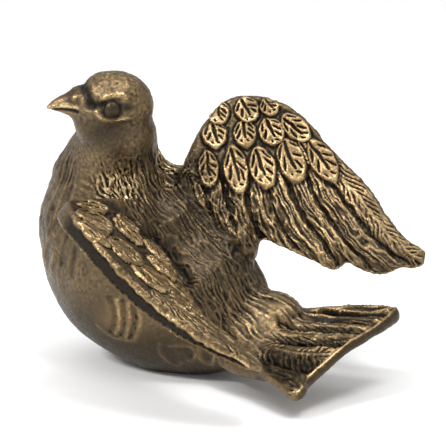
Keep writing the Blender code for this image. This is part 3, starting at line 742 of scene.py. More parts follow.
def wing_chord(p, q, side):
    """How far a place lies from the trailing edge, 0, to the leading edge, 1."""
    lead = np.asarray(LEADING_EDGES[side])
    trail = np.asarray(TRAILING_EDGES[side])
    front = np.interp(p, lead[:, 0], lead[:, 1])
    back = np.interp(p, trail[:, 0], trail[:, 1])
    return np.clip((q - back) / np.maximum(front - back, 1.0), 0.0, 1.0)


def wing_middle(p, q, side):
    """Height of the middle of the wing's wall over the wing's own plane."""
    a = (p - WING_MIDDLE[0]) / WING_HALF_SIZE[0]
    c = (q - WING_MIDDLE[1]) / WING_HALF_SIZE[1]
    cup = SPAN_CUP * a**2 + np.where(c > 0.0, LEADING_CUP, TRAILING_CUP) * c**2 + WING_TWIST * a * c
    taper = np.clip(1.0 - (p / WING_REACH) ** 3, 0.0, 1.0)
    swell = WING_CAMBER * taper * np.sin(pi * wing_chord(p, q, side)) ** 0.8
    return WING_DEPTH + cup + swell + 0.5 * WING_THICKNESS


def wall_grid(steps):
    """A closed double grid over the unit square, with its lower and its upper vertices."""
    bm = bmesh.new()
    bmesh.ops.create_grid(bm, x_segments=steps[0], y_segments=steps[1], size=0.5)
    bmesh.ops.translate(bm, vec=(0.5, 0.5, 0.0), verts=bm.verts)
    lower = list(bm.verts)
    result = bmesh.ops.extrude_face_region(bm, geom=list(bm.faces), use_keep_orig=True)
    upper = [item for item in result["geom"] if isinstance(item, bmesh.types.BMVert)]
    return bm, lower, upper


def rounded(bluntness, *distances):
    """Share of the full wall near an edge: distances run from 0 on the edge to 1 where the wall is full."""
    edge = min(1.0, *distances)
    return bluntness + (1.0 - bluntness) * (1.0 - (1.0 - edge) ** 2) ** 0.5


def wing_form(side):
    """A curved wall between the leading and the trailing edge, with a bar under the leading one."""
    bm, lower, upper = wall_grid(WING_STEPS)
    lead = along(ROOT_EDGE + LEADING_EDGES[side], OUTLINE_STEPS + 1)
    trail = along(TRAILING_EDGES[side], OUTLINE_STEPS + 1)
    lead_edge, trail_edge, tip_edge = EDGE_SHARES
    for verts, lift in ((lower, -0.5), (upper, 0.5)):
        for vert in verts:
            s, t = vert.co.x, vert.co.y
            index = round(s * OUTLINE_STEPS)
            p, q = lead[index] * (1 - t) + trail[index] * t
            full = rounded(WING_BLUNTNESS, (1 - t) / trail_edge, t / lead_edge, (1 - s) / tip_edge)
            height = wing_middle(p, q, side)
            height += lift * WING_THICKNESS * (1.0 - TRAILING_THINNING * t) * full
            if lift < 0.0:
                bar = min(1.0, BAR_SLOPES[0] * s, BAR_SLOPES[1] * (1.0 - s))
                height -= BAR_HEIGHT * bump(t, BAR_SPREAD) * bar
            spot = WING_ROOT + WING_SPAN * p + WING_CHORD * q + WING_UP * height
            vert.co = Vector(mirrored(spot, side)) * MM
    bmesh.ops.recalc_face_normals(bm, faces=bm.faces)
    return bm


def tail_half(s):
    return TAIL_ROOT_HALF + (TAIL_END_HALF - TAIL_ROOT_HALF) * s


def tail_middle(s, t):
    """Height of the middle of the tail's wall at a share of its length and of its half width."""
    level = TAIL_ROOT[1] + (TAIL_END[1] - TAIL_ROOT[1]) * s
    ridge = TAIL_RIDGE * (bump(t, TAIL_RIDGE_SPREAD) - TAIL_RIDGE_SPREAD)
    return level + s * (tail_half(s) * t * sin(TAIL_ROLL) + ridge)


def tail_form():
    """A fan-shaped wall, blunt along its end and sides, and thicker at its right corner."""
    bm, lower, upper = wall_grid(TAIL_STEPS)
    side_edge, end_edge = TAIL_EDGE_SHARES
    place, gap = np.array(TAIL_GAPS).T
    for verts, lift in ((lower, -0.5), (upper, 0.5)):
        for vert in verts:
            s, t = vert.co.x, 2.0 * vert.co.y - 1.0
            x = TAIL_ROOT[0] + (TAIL_END[0] - TAIL_ROOT[0]) * s - s * np.interp(t, place, gap)
            y = tail_half(s) * t + TAIL_SWING * s
            full = rounded(TAIL_BLUNTNESS, (1 - abs(t)) / side_edge, (1 - s) / end_edge)
            wall = TAIL_THICKNESS * full
            if lift < 0.0:
                wall *= 1.0 + TAIL_SWELL * s * smooth_step(*TAIL_SWELL_PLACE, t)
            vert.co = Vector((x, y, tail_middle(s, t) + lift * wall)) * MM
    bmesh.ops.recalc_face_normals(bm, faces=bm.faces)
    return bm


def joined(forms):
    """All forms in one mesh, each set in place by its matrix."""
    whole = bmesh.new()
    for form, matrix in forms:
        bmesh.ops.transform(form, matrix=matrix, verts=form.verts)
        piece = bpy.data.meshes.new("form")
        form.to_mesh(piece)
        form.free()
        whole.from_mesh(piece)
        bpy.data.meshes.remove(piece)
    return whole


def mesh_arrays(mesh):
    """Places and normals of a mesh's vertices and the ends of its edges."""
    places = np.empty(len(mesh.vertices) * 3)
    mesh.vertices.foreach_get("co", places)
    normals = np.empty(len(mesh.vertices) * 3)
    mesh.vertices.foreach_get("normal", normals)
    ends = np.empty(len(mesh.edges) * 2, int)
    mesh.edges.foreach_get("vertices", ends)
    return places.reshape(-1, 3), normals.reshape(-1, 3), ends.reshape(-1, 2)


def set_places(mesh, places):
    mesh.vertices.foreach_set("co", places.ravel())
    mesh.update()


def neighbours_mean(values, ends):
    """The mean of each vertex's neighbours, for places or for one number each."""
    flat = values.reshape(len(values), -1)
    total = np.zeros_like(flat)
    for column in range(flat.shape[1]):
        total[:, column] = np.bincount(ends[:, 0], flat[ends[:, 1], column], len(flat))
        total[:, column] += np.bincount(ends[:, 1], flat[ends[:, 0], column], len(flat))
    count = np.bincount(ends.ravel(), minlength=len(flat))[:, None]
    return (total / np.maximum(count, 1)).reshape(values.shape)


def fillet(mesh):
    """Fills the hollow corners where forms meet, as wax does, and nearly keeps the outward ones."""
    for _ in range(FILLET_PASSES):
        places, normals, ends = mesh_arrays(mesh)
        shift = neighbours_mean(places, ends) - places
        out = np.sum(shift * normals, axis=1, keepdims=True)
        kept = np.where(out > 0.0, 0.0, FILLET_SPARED * out)
        set_places(mesh, places + FILLET_STEP * (shift - kept * normals))


def in_frame(matrix, places, normals):
    """Places in millimetres and normals as a frame sees them."""
    back = np.array(matrix.inverted())
    return (places @ back[:3, :3].T + back[:3, 3]) / MM, normals @ back[:3, :3].T


def ridges(run, off, seed):
    """Sinuous crests between 0 and 1, about one to a unit."""
    field = np.stack([run, off, np.zeros(len(run))], axis=1)
    return 1.0 - np.minimum(1.0, 2.4 * np.abs(noise(field, seed)))


def strands(run, off, seed):
    """Wax-like ridges that wander along a feather: run along it and off to one side, in millimetres."""
    length, width = STRAND_BEND
    bend = noise(np.stack([run / length, off / width, np.full(len(run), 0.5)], axis=1), seed)
    height = np.zeros(len(run))
    for order, (length, spacing, wander, share) in enumerate(STRAND_SIZES, 1):
        height += share * ridges(run / length, off / spacing + wander * bend, seed + order)
    return height


def strokes(run, off, pitch, slant, seed, sway):
    """Cuts that slant back from a shaft, 0 to 1: run along it and off to one side, in millimetres."""
    phase = (run - slant * off) / pitch + 0.35 * sway + 0.37 * seed
    return smooth_step(0.1, 0.8, np.cos(2.0 * pi * phase))


def leaf_reach(run, off, half_length, half_width):
    """0 in a leaf's middle and 1 on its outline, which is narrower towards its root."""
    u = run / half_length
    narrowing, start, full = LEAF_ROOT
    width = half_width * (1.0 - narrowing * smooth_step(start, full, u))
    return np.hypot(u, off / width)


def leaf_height(run, off, half_length, half_width, seed):
    """A leaf-shaped feather with a raised rim and wedge-shaped cuts along its shaft and beside it."""
    u = run / half_length
    reach = leaf_reach(run, off, half_length, half_width)
    rise = LEAF_STEP * (LEAF_RISE[0] + LEAF_RISE[1] * u)
    rim_height, rim_place, rim_spread = LEAF_RIM
    height = rise * smooth_step(*LEAF_EDGE, reach) + rim_height * bump(reach - rim_place, rim_spread)
    cut = np.zeros(len(run))
    shifts = np.random.default_rng(70 + seed).uniform(-CUT_STRAY, CUT_STRAY, (len(LEAF_CUTS), 2, 2))
    size = np.array((half_length, half_width))
    for (start, end, half), shift in zip(LEAF_CUTS, shifts):
        a = (np.array(start) + shift[0]) * size
        b = (np.array(end) + shift[1]) * size
        way = b - a
        t = np.clip(((run - a[0]) * way[0] + (off - a[1]) * way[1]) / (way @ way), 0.0, 1.0)
        gap = np.hypot(run - a[0] - t * way[0], off - a[1] - t * way[1])
        wedge = half * (WEDGE_WIDTHS[0] + WEDGE_WIDTHS[1] * np.sin(pi * (0.15 + 0.7 * t)))
        cut = np.maximum(cut, smooth_step(*WEDGE_WALL, gap / wedge))
    return height - LEAF_CUT_DEPTH * cut * smooth_step(*LEAF_CUT_EDGE, reach), cut


def wing_leaves(plan, leaves):
    """The leaf-shaped feathers' height, where they are, where their cuts are, and how near their tips."""
    height = np.zeros(len(plan))
    inside = np.zeros(len(plan), bool)
    cuts = np.zeros(len(plan))
    tips = np.zeros(len(plan))
    moat = np.zeros(len(plan))
    ditch, ditch_spread, ditch_depth = LEAF_MOAT
    for index, (mid_p, mid_q, half_length, half_width, lean) in enumerate(leaves):
        way = np.array([cos(radians(lean)), sin(radians(lean))])
        rel = plan - (mid_p, mid_q)
        run = rel @ way
        off = rel[:, 1] * way[0] - rel[:, 0] * way[1]
        reach = leaf_reach(run, off, half_length, half_width)
        here = reach < 1.0
        value, cut = leaf_height(run, off, half_length, half_width, index)
        height = np.where(here, value, height)
        cuts = np.where(here, cut, cuts)
        tips = np.where(here, smooth_step(*LEAF_TIP, run / half_length), tips)
        beside = bump((reach - 1.0) * half_width - ditch, ditch_spread)
        moat = np.where(here, 0.0, np.maximum(moat, beside))
        inside |= here
    return height - ditch_depth * moat, inside, cuts, tips, moat


def fan_height(plan, shafts, styles, step, groove, sway, seed):
    """Long feathers side by side, each in its own style, and the furrows along their borders."""
    found = [line_distance(plan, along(shaft, 24)) for shaft in shafts]
    distances = np.array([item[0] for item in found])
    order = np.argsort(distances, axis=0)
    rows = np.arange(len(plan))
    first, second = order[0], order[1]
    near = distances[first, rows]
    far = distances[second, rows]
    side = np.array([item[1] for item in found])[first, rows]
    run = np.array([item[2] for item in found])[first, rows]
    border = 0.5 * (far - near) + BORDER_WANDER * sway
    blade = near / np.maximum(near + border, 0.5)
    off = side * near + FEATHER_SHIFT * first
    inner = smooth_step(*BORDER_EDGE, border)
    beside = smooth_step(*SHAFT_EDGE, near) * inner
    length, width = BARB_WEAR_SIZE
    worn = noise(np.stack([run / length, off / width, off * 0.0], axis=1), seed + 7)
    worn = smooth_step(*BARB_WEAR, worn)
    length, spacing = LINE_SIZE
    strand = (strands(run, off, seed) - STRAND_LEVEL) * inner
    webs = {
        "strands": STRAND_HEIGHT * strand,
        "lines": LINE_HEIGHT * (ridges(run / length, off / spacing, seed + 5) - 0.5) * inner,
        "barbs": 0.4 * strand - BARB_DEPTH * worn * strokes(run, near, BARB_PITCH, 2.2, first, sway) * beside,
        "ribs": 0.3 * strand - BARB_DEPTH * worn * strokes(run, near, RIB_PITCH, 0.5, first, sway) * beside,
    }
    kinds = np.array(styles)[first]
    groove_depth, groove_spread = groove
    furrow = bump(border, groove_spread)
    height = step * (0.5 + 0.5 * side * blade) - groove_depth * furrow
    height += QUILL_SHAFT * bump(near, SHAFT_SPREAD)
    for style, web in webs.items():
        height += np.where(kinds == style, web, 0.0)
    return height, furrow


class Surface:
    """The casting's fine mesh while it is carved: places and normals, and what the finish reads."""

    def __init__(self, mesh):
        self.mesh = mesh
        self.places, self.normals, self.ends = mesh_arrays(mesh)
        self.rubbed = np.full(len(self.places), START_RUB)
        self.golden = np.zeros(len(self.places))
        self.patina_and_shade_dark = np.zeros(len(self.places))

    def in_frame(self, matrix):
        return in_frame(matrix, self.places, self.normals)

    def raise_by(self, height, rows=slice(None)):
        """Moves vertices outwards by their height in millimetres."""
        self.places[rows] = self.places[rows] + (height * MM)[:, None] * self.normals[rows]

    def refresh(self):
        set_places(self.mesh, self.places)
        self.places, self.normals, self.ends = mesh_arrays(self.mesh)

    def rub(self, where, amount, rows=slice(None)):
        self.rubbed[rows] = self.rubbed[rows] * (1.0 - where) + amount * where

    def gild(self, where, rows=slice(None)):
        self.golden[rows] = np.maximum(self.golden[rows], where)

    # Darkens places: patina in carved hollows, and painted shade where parts shade each other or face away
    # from the light
    def darken_patina_and_shade(self, where, rows=slice(None)):
        self.patina_and_shade_dark[rows] = np.maximum(self.patina_and_shade_dark[rows], where)


def line_gap(places, line):
    """Distance of each place from a line through points."""
    line = np.asarray(line)
    gap = np.full(len(places), np.inf)
    for first, last in zip(line, line[1:]):
        way = last - first
        share = np.clip((places - first) @ way / (way @ way), 0.0, 1.0)
        gap = np.minimum(gap, np.linalg.norm(places - first - share[:, None] * way, axis=1))
    return gap


def carve_valleys(surface, depth):
    """Sinks the valleys between the wings and the back, and darkens them with patina and painted shade
    between the parts.
    """
    spot, _ = surface.in_frame(LEAN)
    for line, sink, spread in VALLEYS:
        gap = line_gap(spot, line)
        surface.raise_by(-depth * sink * bump(gap, spread))
        surface.darken_patina_and_shade(DARK_PATINA_AND_SHADE["valley"] * bump(gap, VALLEY_PATINA_AND_SHADE_SPREAD * spread))


def carve_wing(surface, spot, facing, depth, side, leaves, valley):
    """Feathers on the back of one wing, fainter ones beneath, and the dark channel on its bar."""
    flip, root = (1.0, side, 1.0), np.array(WING_ROOT)
    root_p, root_q = np.array((WING_SPAN, WING_CHORD)) @ (np.array(valley) * flip - root).T
    rel = spot * flip - root
    p, q, z = (rel @ np.array(axis) for axis in (WING_SPAN, WING_CHORD, WING_UP))
    gap = z - wing_middle(p, q, side) - 0.5 * WING_THICKNESS
    rows = np.flatnonzero(np.all(
        [(low < value) & (value < high) for value, (low, high) in zip((p, q, gap), WING_SEARCH)], axis=0
    ))
    p, q, gap, place = p[rows], q[rows], gap[rows], spot[rows]
    tilt, ahead = ((facing[rows] * flip) @ np.array(axis) for axis in (WING_UP, WING_CHORD))
    measures = {
        "span": p, "chord": wing_chord(p, q, side), "gap": gap,
        "off valley": q - np.interp(p, root_p, root_q), "up": tilt, "down": -tilt, "ahead": ahead,
    }
    sway = mottle(place, FEATHER_SWAY, 3)
    plan = np.stack([p + mottle(place, LEAF_WARP, 4), q + mottle(place, LEAF_WARP, 6)], axis=1)
    back, under, bar, behind_bar, inner = (region(limits, measures) for limits in WING_REGIONS.values())

    # Leaves lie over the long feathers' fan, and on plain ground above it
    leaf, inside, cuts, tips, moat = wing_leaves(plan, leaves)
    fan, furrow = fan_height(plan, QUILLS, QUILL_STYLES, QUILL_STEP, QUILL_GROOVE, sway, 41)
    fanned = smooth_step(*QUILL_FADE, q - np.interp(p, *np.array(QUILL_TOPS[side]).T))
    streaks = strands(q * GROUND_SHORTENING, p, 51) - STRAND_LEVEL
    ground = mottle(place, WING_GRAIN, 5) + GROUND_STRANDS * streaks
    relief = np.where(inside, leaf, fan * fanned + ground * (1.0 - fanned) + leaf)
    relief = (relief - RELIEF_LEVEL) * behind_bar

    # The bar's front is a dark channel between two worn lines, with crumbs along the upper one
    foot, head = (smooth_step(low, high, gap + wander * sway) for low, high, wander in CHANNEL_LIMITS)
    channel = bar * foot * head
    crumbs = sum(mottle(place, field, seed) for seed, field in enumerate(BAR_CRUMBS, 57))
    crumbs = bar * smooth_step(*CRUMB_LIMITS, gap) * crumbs
    lines = (bump(gap + below + wander * sway, spread) for below, wander, spread in WORN_LINES)
    worn = bar * np.maximum(*lines)
    height = relief * back + UNDERSIDE_SHARE * fan * under * inner
    surface.raise_by(depth * height + depth * (crumbs - CHANNEL_DEPTH * channel), rows)

    for name, where in (
        ("wing", back), ("long feathers", back * fanned), ("wing tip", back * smooth_step(*TIP_WEAR, p)),
        ("leaf", back * inside), ("leaf tip", back * inside * tips), ("bar", bar), ("worn line", worn),
        ("channel", channel),
    ):
        surface.rub(where, RUB[name], rows)
    # Leaf tips are gilded further as painted glints, over their wear
    leaf_gilt = GILD["right leaf" if side > 0.0 else "left leaf"] + GILD["leaf tip"] * tips
    surface.gild(back * inside * leaf_gilt, rows)
    surface.gild(GILD["worn line"] * worn * (1.0 - channel), rows)
    beside = back * ~inside
    # Patina in the leaves' cuts, moats, furrows and channel, and painted shade on the lower halves of the
    # long feathers
    for name, where in (
        ("channel", channel), ("bar", bar * (1.0 - worn)), ("leaf cut", back * inside * cuts),
        ("leaf moat", beside * moat), ("wing ground", beside * (1.0 - fanned)),
        ("wing furrow", beside * fanned * furrow),
        ("low strands", beside * fanned * smooth_step(*WING_SHADE_BELOW, fan)),
    ):
        surface.darken_patina_and_shade(DARK_PATINA_AND_SHADE[name] * where, rows)


def carve_wings(surface, depth):
    """Both wings, each from its own side's tables."""
    spot, facing = surface.in_frame(LEAN)
    for side, leaves, (valley, _, _) in ((1.0, RIGHT_LEAVES, VALLEYS[0]), (-1.0, LEFT_LEAVES, VALLEYS[1])):
        carve_wing(surface, spot, facing, depth, side, leaves, valley)


def carve_tail(surface, depth):
    """The tail's fan of feathers, fainter beneath, with a raised rim round its end."""
    spot, facing = surface.in_frame(LEAN)
    x, y, z = spot.T
    length = TAIL_END[0] - TAIL_ROOT[0]
    s = (x - TAIL_ROOT[0]) / length
    t = (y - TAIL_SWING * s) / tail_half(np.clip(s, 0.0, 1.0))
    rise = z - tail_middle(s, t)
    least, highest, widest = TAIL_SEARCH
    rows = np.flatnonzero((s > least) & (np.abs(rise) < highest) & (np.abs(t) < widest))
    s, t, place = s[rows], t[rows], spot[rows]
    gap_place, gap = np.array(TAIL_GAPS).T
    end = (1.0 - s) * length - np.interp(t, gap_place, gap)
    measures = {
        "length": s, "across": t, "aside": np.abs(t), "end": end,
        "level": np.abs(rise[rows] / TAIL_THICKNESS),
        "up": facing[rows, 2], "down": -facing[rows, 2], "back": facing[rows, 0],
    }
    on_tail, inner, up, down, face, corner = (region(limits, measures) for limits in TAIL_REGIONS.values())
    sway = mottle(place, TAIL_SWAY, 11)
    fan, furrow = fan_height(place[:, :2], TAIL_SHAFTS, TAIL_STYLES, TAIL_STEP, TAIL_GROOVE, sway, 61)
    rim_place, rim_spread, rim_height = TAIL_RIM
    rim = bump(end - rim_place, rim_spread)
    share, level = TAIL_RELIEF
    above = ((share * fan - level) * inner + rim_height * rim) * up
    surface.raise_by(depth * on_tail * (above + UNDERSIDE_SHARE * fan * inner * down), rows)
    surface.rub(on_tail * up, RUB["tail"], rows)
    surface.rub(on_tail * up * rim, RUB["tail rim"], rows)
    carved = on_tail * up * inner
    # Patina in the furrows, and painted shade on the lower halves of the feathers
    sunk = np.maximum(furrow, smooth_step(*TAIL_SHADE_BELOW, fan))
    # Painted shade on the end face, which faces away from the light, and in the left corner
    surface.darken_patina_and_shade(DARK_PATINA_AND_SHADE["tail end painted shade"] * face, rows)
    surface.darken_patina_and_shade(DARK_PATINA_AND_SHADE["tail corner painted shade"] * carved * corner, rows)
    surface.darken_patina_and_shade(carved * (DARK_PATINA_AND_SHADE["tail"] + DARK_PATINA_AND_SHADE["tail furrow patina and shade"] * sunk), rows)


def flank_shapes(flank):
    """Crescents and loops seen from the side: how sunk and how proud a place is, and the breast's dent."""
    sunk = np.zeros(len(flank))
    proud = np.zeros(len(flank))
    for line in CRESCENTS:
        gap = line_distance(flank, along(line, 16))[0]
        sunk = np.maximum(sunk, smooth_step(*CRESCENT_REACH, gap))
    for mid_x, mid_z, half_x, half_z in BELLY_HOLLOWS:
        reach = np.hypot((flank[:, 0] - mid_x) / half_x, (flank[:, 1] - mid_z) / half_z)
        sunk = np.maximum(sunk, smooth_step(*HOLLOW_REACH, reach))
    for line in CRESCENT_RIDGES + BELLY_LOOPS:
        proud = np.maximum(proud, drawn(flank, line, 20, RIDGE_SPREAD))
    return sunk * (1.0 - proud), proud, drawn(flank, BREAST_DENT, 12, DENT_SPREAD)


def carve_body(surface, depth):
    """Streaks down the back, the rump, the breast and the neck, and the carved shapes of both flanks."""
    spot, facing = surface.in_frame(LEAN)
    x, y, z = spot.T
    away = np.abs(y)
    measures = {
        "along": x, "height": z, "away": away, "up": facing[:, 2], "backwards": facing @ np.array(BACK_WAY),
        "sideways": np.abs(facing[:, 1]),
    }
    back, rump, breast, belly, flanks = (region(limits, measures) for limits in BODY_REGIONS.values())
    neck = patch(np.stack([x, away, z], axis=1), *NECK_STREAKS_AND_GLINTS)
    flank_painted_light = patch(np.stack([x, z], axis=1), *FLANK_PAINTED_LIGHT) * flanks

    total = mottle(spot, BODY_GRAIN, 20) + mottle(spot, BODY_SWELL, 19)
    # The back's streaks run down from the nape to the rump
    run = spot @ np.array(BACK_RUN)
    bent = y + mottle(spot, BACK_BEND, 21)
    total += STREAK_HEIGHTS["back"] * back * (strands(BACK_SHORTENING * run, bent, 23) - STRAND_LEVEL)
    # Those of the rump spread into the tail
    fan_from, fan_width, least_way = RUMP_FAN
    size, limits, (least, more) = RUMP_CHUNKS
    chunks = least + more * smooth_step(*limits, noise(spot / size, 34))
    spread = y * fan_width / np.maximum(x - fan_from, least_way) / RUMP_WIDENING
    total += rump * chunks * (strands(x, spread + mottle(spot, RUMP_WAVE, 35), 33) - STRAND_LEVEL)
    # Those of the breast hang down its front
    axis, radius = BREAST_AXIS
    size, limits, (least, more) = BREAST_CHUNKS
    chunks = least + more * smooth_step(*limits, noise(spot / size, 44))
    longer, wider = BREAST_STRETCH
    round_it = radius * np.arctan2(y, axis - x)
    total += breast * chunks * (strands(z / longer, round_it / wider, 43) - STRAND_LEVEL)
    # Short ones glitter on the sides of the neck, where they are rubbed and gilded pale as painted glints
    streaks = strands(NECK_SHORTENING * z, NECK_NARROWING * (x - away), 53) - 0.5
    total += STREAK_HEIGHTS["neck"] * neck * streaks
    furthest, highest, widest = FLANK_SEARCH
    rows = np.flatnonzero((flanks > 0.0) & (x < furthest) & (z < highest) & (away < widest))
    shift = [mottle(spot[rows], FLANK_WARP, seed) for seed in (26, 27)]
    sunk, proud, dent = flank_shapes(np.stack([x[rows] + shift[0], z[rows] + shift[1]], axis=1))
    total[rows] += flanks[rows] * (RIDGE_HEIGHT * proud - CRESCENT_DEPTH * sunk - DENT_DEPTH * dent)
    surface.raise_by(depth * total)

    # The belly is rubbed little, and darkened below, as painted shade under the body
    for name, where in (("belly", belly), ("back", back), ("rump", rump), ("breast", breast), ("neck", neck)):
        surface.rub(where, RUB[name])
    ridge = flanks[rows] * proud
    surface.rub(ridge, RUB["carved ridge"], rows)
    surface.gild(GILD["carved ridge"] * ridge, rows)
    # The neck's streaks are gilded as painted glints, with their wear
    surface.gild(GILD["neck"] * neck)
    # A painted pool of light, gilded on the flank
    surface.gild(GILD["flank"] * flank_painted_light)
    surface.darken_patina_and_shade(flanks[rows] * np.maximum(DARK_PATINA_AND_SHADE["crescent"] * sunk, DARK_PATINA_AND_SHADE["dent"] * dent), rows)
    # The belly's darkening is painted shade under the body, kept off the flank's painted light
    for name, where in (("back", back * (1.0 - neck)), ("breast", breast), ("belly", belly * (1.0 - flank_painted_light))):
        surface.darken_patina_and_shade(DARK_PATINA_AND_SHADE[name] * where)


def carve_face(surface, depth):
    """Beak, nostrils, lores, lids and brows."""
    spot, _ = surface.in_frame(HEAD_FRAME)
    folded = spot * (1.0, 0.0, 1.0)
    folded[:, 1] = np.abs(spot[:, 1])
    profile = spot[:, ::2]
    to_eye = np.linalg.norm(folded - np.array(EYE_PLACE), axis=1) - EYE_RADIUS
    measures = {
        "along": spot[:, 0], "aside": folded[:, 1], "height": spot[:, 2], "to eye": to_eye,
        "from middle": np.linalg.norm(spot, axis=1),
    }
    head, side, over_gape, beak, beak_ridge, beak_tip, crown, behind_tip, eyeball = (
        region(limits, measures) for limits in FACE_REGIONS.values()
    )
    crown, eyeball = head * crown, eyeball * side
    marks = {name: drawn(profile, *values) for name, values in FACE_LINES.items()}
    for name, within in (
        ("lore", side), ("beak groove", head * over_gape), ("lid", side), ("brow", side), ("beak edge", beak),
        ("beak slit", beak),
    ):
        marks[name] = marks[name] * within
    for name in ("lid", "brow"):
        marks[name] = marks[name] * (1.0 - marks["lore"])
    socket_gap, socket_spread = SOCKET
    marks["socket"] = side * bump(to_eye - socket_gap, socket_spread)
    marks["eye corner"] = side * patch(profile, *EYE_CORNER)
    marks["nostril"] = head * patch(folded, *NOSTRIL)
    total = sum(height * marks[name] for name, height in FACE_HEIGHTS.items())
    knobs = np.zeros(len(spot))
    for middle, size, rise in NOSTRIL_KNOBS:
        knob = head * patch(folded, middle, 1.0, size)
        knobs = np.maximum(knobs, knob)
        total += rise * knob
    # Fine grains cover the head, and are higher on its crown
    size, least, more = HEAD_GRAIN
    total += head * behind_tip * (least + more * crown) * noise(spot / size, 31)
    surface.raise_by(depth * total * (1.0 - eyeball))

    marks.update({"head": head, "crown": crown, "knobs": knobs, "eyeball": eyeball})
    # Painted shade on the cheek, under the head: rubbed little and darkened
    marks["cheek painted shade"] = head * patch(profile, *CHEEK_PAINTED_SHADE)
    marks["beak tip"] = beak_tip * beak * (1.0 - marks["beak slit"])
    for name in ("head", "crown", "cheek painted shade", "lid", "brow", "knobs", "beak edge", "eyeball"):
        surface.rub(marks[name], RUB[name])
    # Lids, brows and the beak's edge are gilded and rubbed pale as painted highlights, over their wear
    for name in ("crown", "lid", "brow", "knobs", "beak edge", "beak tip"):
        surface.gild(GILD[name] * marks[name])
    lores = np.minimum(1.0, LORE_DARKENING * np.maximum(marks["lore"], marks["beak groove"])) * (1.0 - knobs)
    marks["beak ridge"] = beak * beak_ridge * (1.0 - knobs)
    for where in (lores, marks["nostril"], marks["beak slit"]):
        surface.darken_patina_and_shade(DARK_PATINA_AND_SHADE["face"] * where)
    for name in ("socket", "eye corner", "eyeball", "beak ridge"):
        surface.darken_patina_and_shade(DARK_PATINA_AND_SHADE["face"] * DARK_PATINA_AND_SHADE[name] * marks[name])
    surface.darken_patina_and_shade(DARK_PATINA_AND_SHADE["cheek painted shade"] * marks["cheek painted shade"])


def shape_reading(surface):
    """How hollow each place is against its surroundings in millimetres, near and further round."""
    readings = []
    for passes in READING_PASSES:
        smooth = surface.places
        for _ in range(passes):
            smooth = 0.3 * smooth + 0.7 * neighbours_mean(smooth, surface.ends)
        readings.append(np.sum((smooth - surface.places) * surface.normals, axis=1) / MM)
    return readings


def add_reading(mesh, name, values):
    layer = mesh.attributes.new(name, "FLOAT", "POINT")
    layer.data.foreach_set("value", np.asarray(values, np.float32))


def apply_modifiers(obj):
    """Keeps the mesh that an object's modifiers make, and clears them."""
    graph = bpy.context.evaluated_depsgraph_get()
    old = obj.data
    obj.data = bpy.data.meshes.new_from_object(obj.evaluated_get(graph))
    obj.modifiers.clear()
    bpy.data.meshes.remove(old)


def settle(mesh):
    """Sets the casting where the part is, wears it to size, and cuts its flat resting place."""
    bm = bmesh.new()
    bm.from_mesh(mesh)
    bmesh.ops.translate(bm, vec=FORM_PLACE, verts=bm.verts)
    low, high = CAD_BOX
    for vert in bm.verts:
        vert.co.x = min(max(vert.co.x, low[0]), high[0])
        vert.co.y = min(max(vert.co.y, low[1]), high[1])
        vert.co.z = min(vert.co.z, high[2])
    everything = bm.verts[:] + bm.edges[:] + bm.faces[:]
    cut = bmesh.ops.bisect_plane(
        bm, geom=everything, plane_co=(0.0, 0.0, 0.0), plane_no=(0.0, 0.0, 1.0), clear_inner=True
    )
    rim = [item for item in cut["geom_cut"] if isinstance(item, bmesh.types.BMEdge)]
    bmesh.ops.holes_fill(bm, edges=rim, sides=0)
    bmesh.ops.triangulate(bm, faces=bm.faces)
    bmesh.ops.recalc_face_normals(bm, faces=bm.faces)
    for face in bm.faces:
        face.smooth = True
    bm.to_mesh(mesh)
    bm.free()


def add_node(tree, kind, settings, links):
    """One node with its settings; links go from a socket or a plain value to each of its inputs."""
    node = tree.nodes.new(kind)
    for name, value in settings.items():
        setattr(node, name, value)
    for name, value in links.items():
        socket = node.inputs[name]
        if isinstance(value, bpy.types.NodeSocket):
            tree.links.new(value, socket)
        else:
            socket.default_value = value
    return node


def brought(tree, value, limits, **settings):
    """A value brought from one range to another."""
    low, high, least, most = limits
    links = {"Value": value, "From Min": low, "From Max": high, "To Min": least, "To Max": most}
    return add_node(tree, "ShaderNodeMapRange", settings, links).outputs[0]


def combined(tree, operation, first, second):
    return add_node(tree, "ShaderNodeMath", {"operation": operation}, {0: first, 1: second}).outputs[0]


def blended(tree, share, first, second):
    """The first colour where the share is 0, and the second where it is 1."""
    links = {"Factor": share, 6: first, 7: second}
    return add_node(tree, "ShaderNodeMix", {"data_type": "RGBA"}, links).outputs[2]


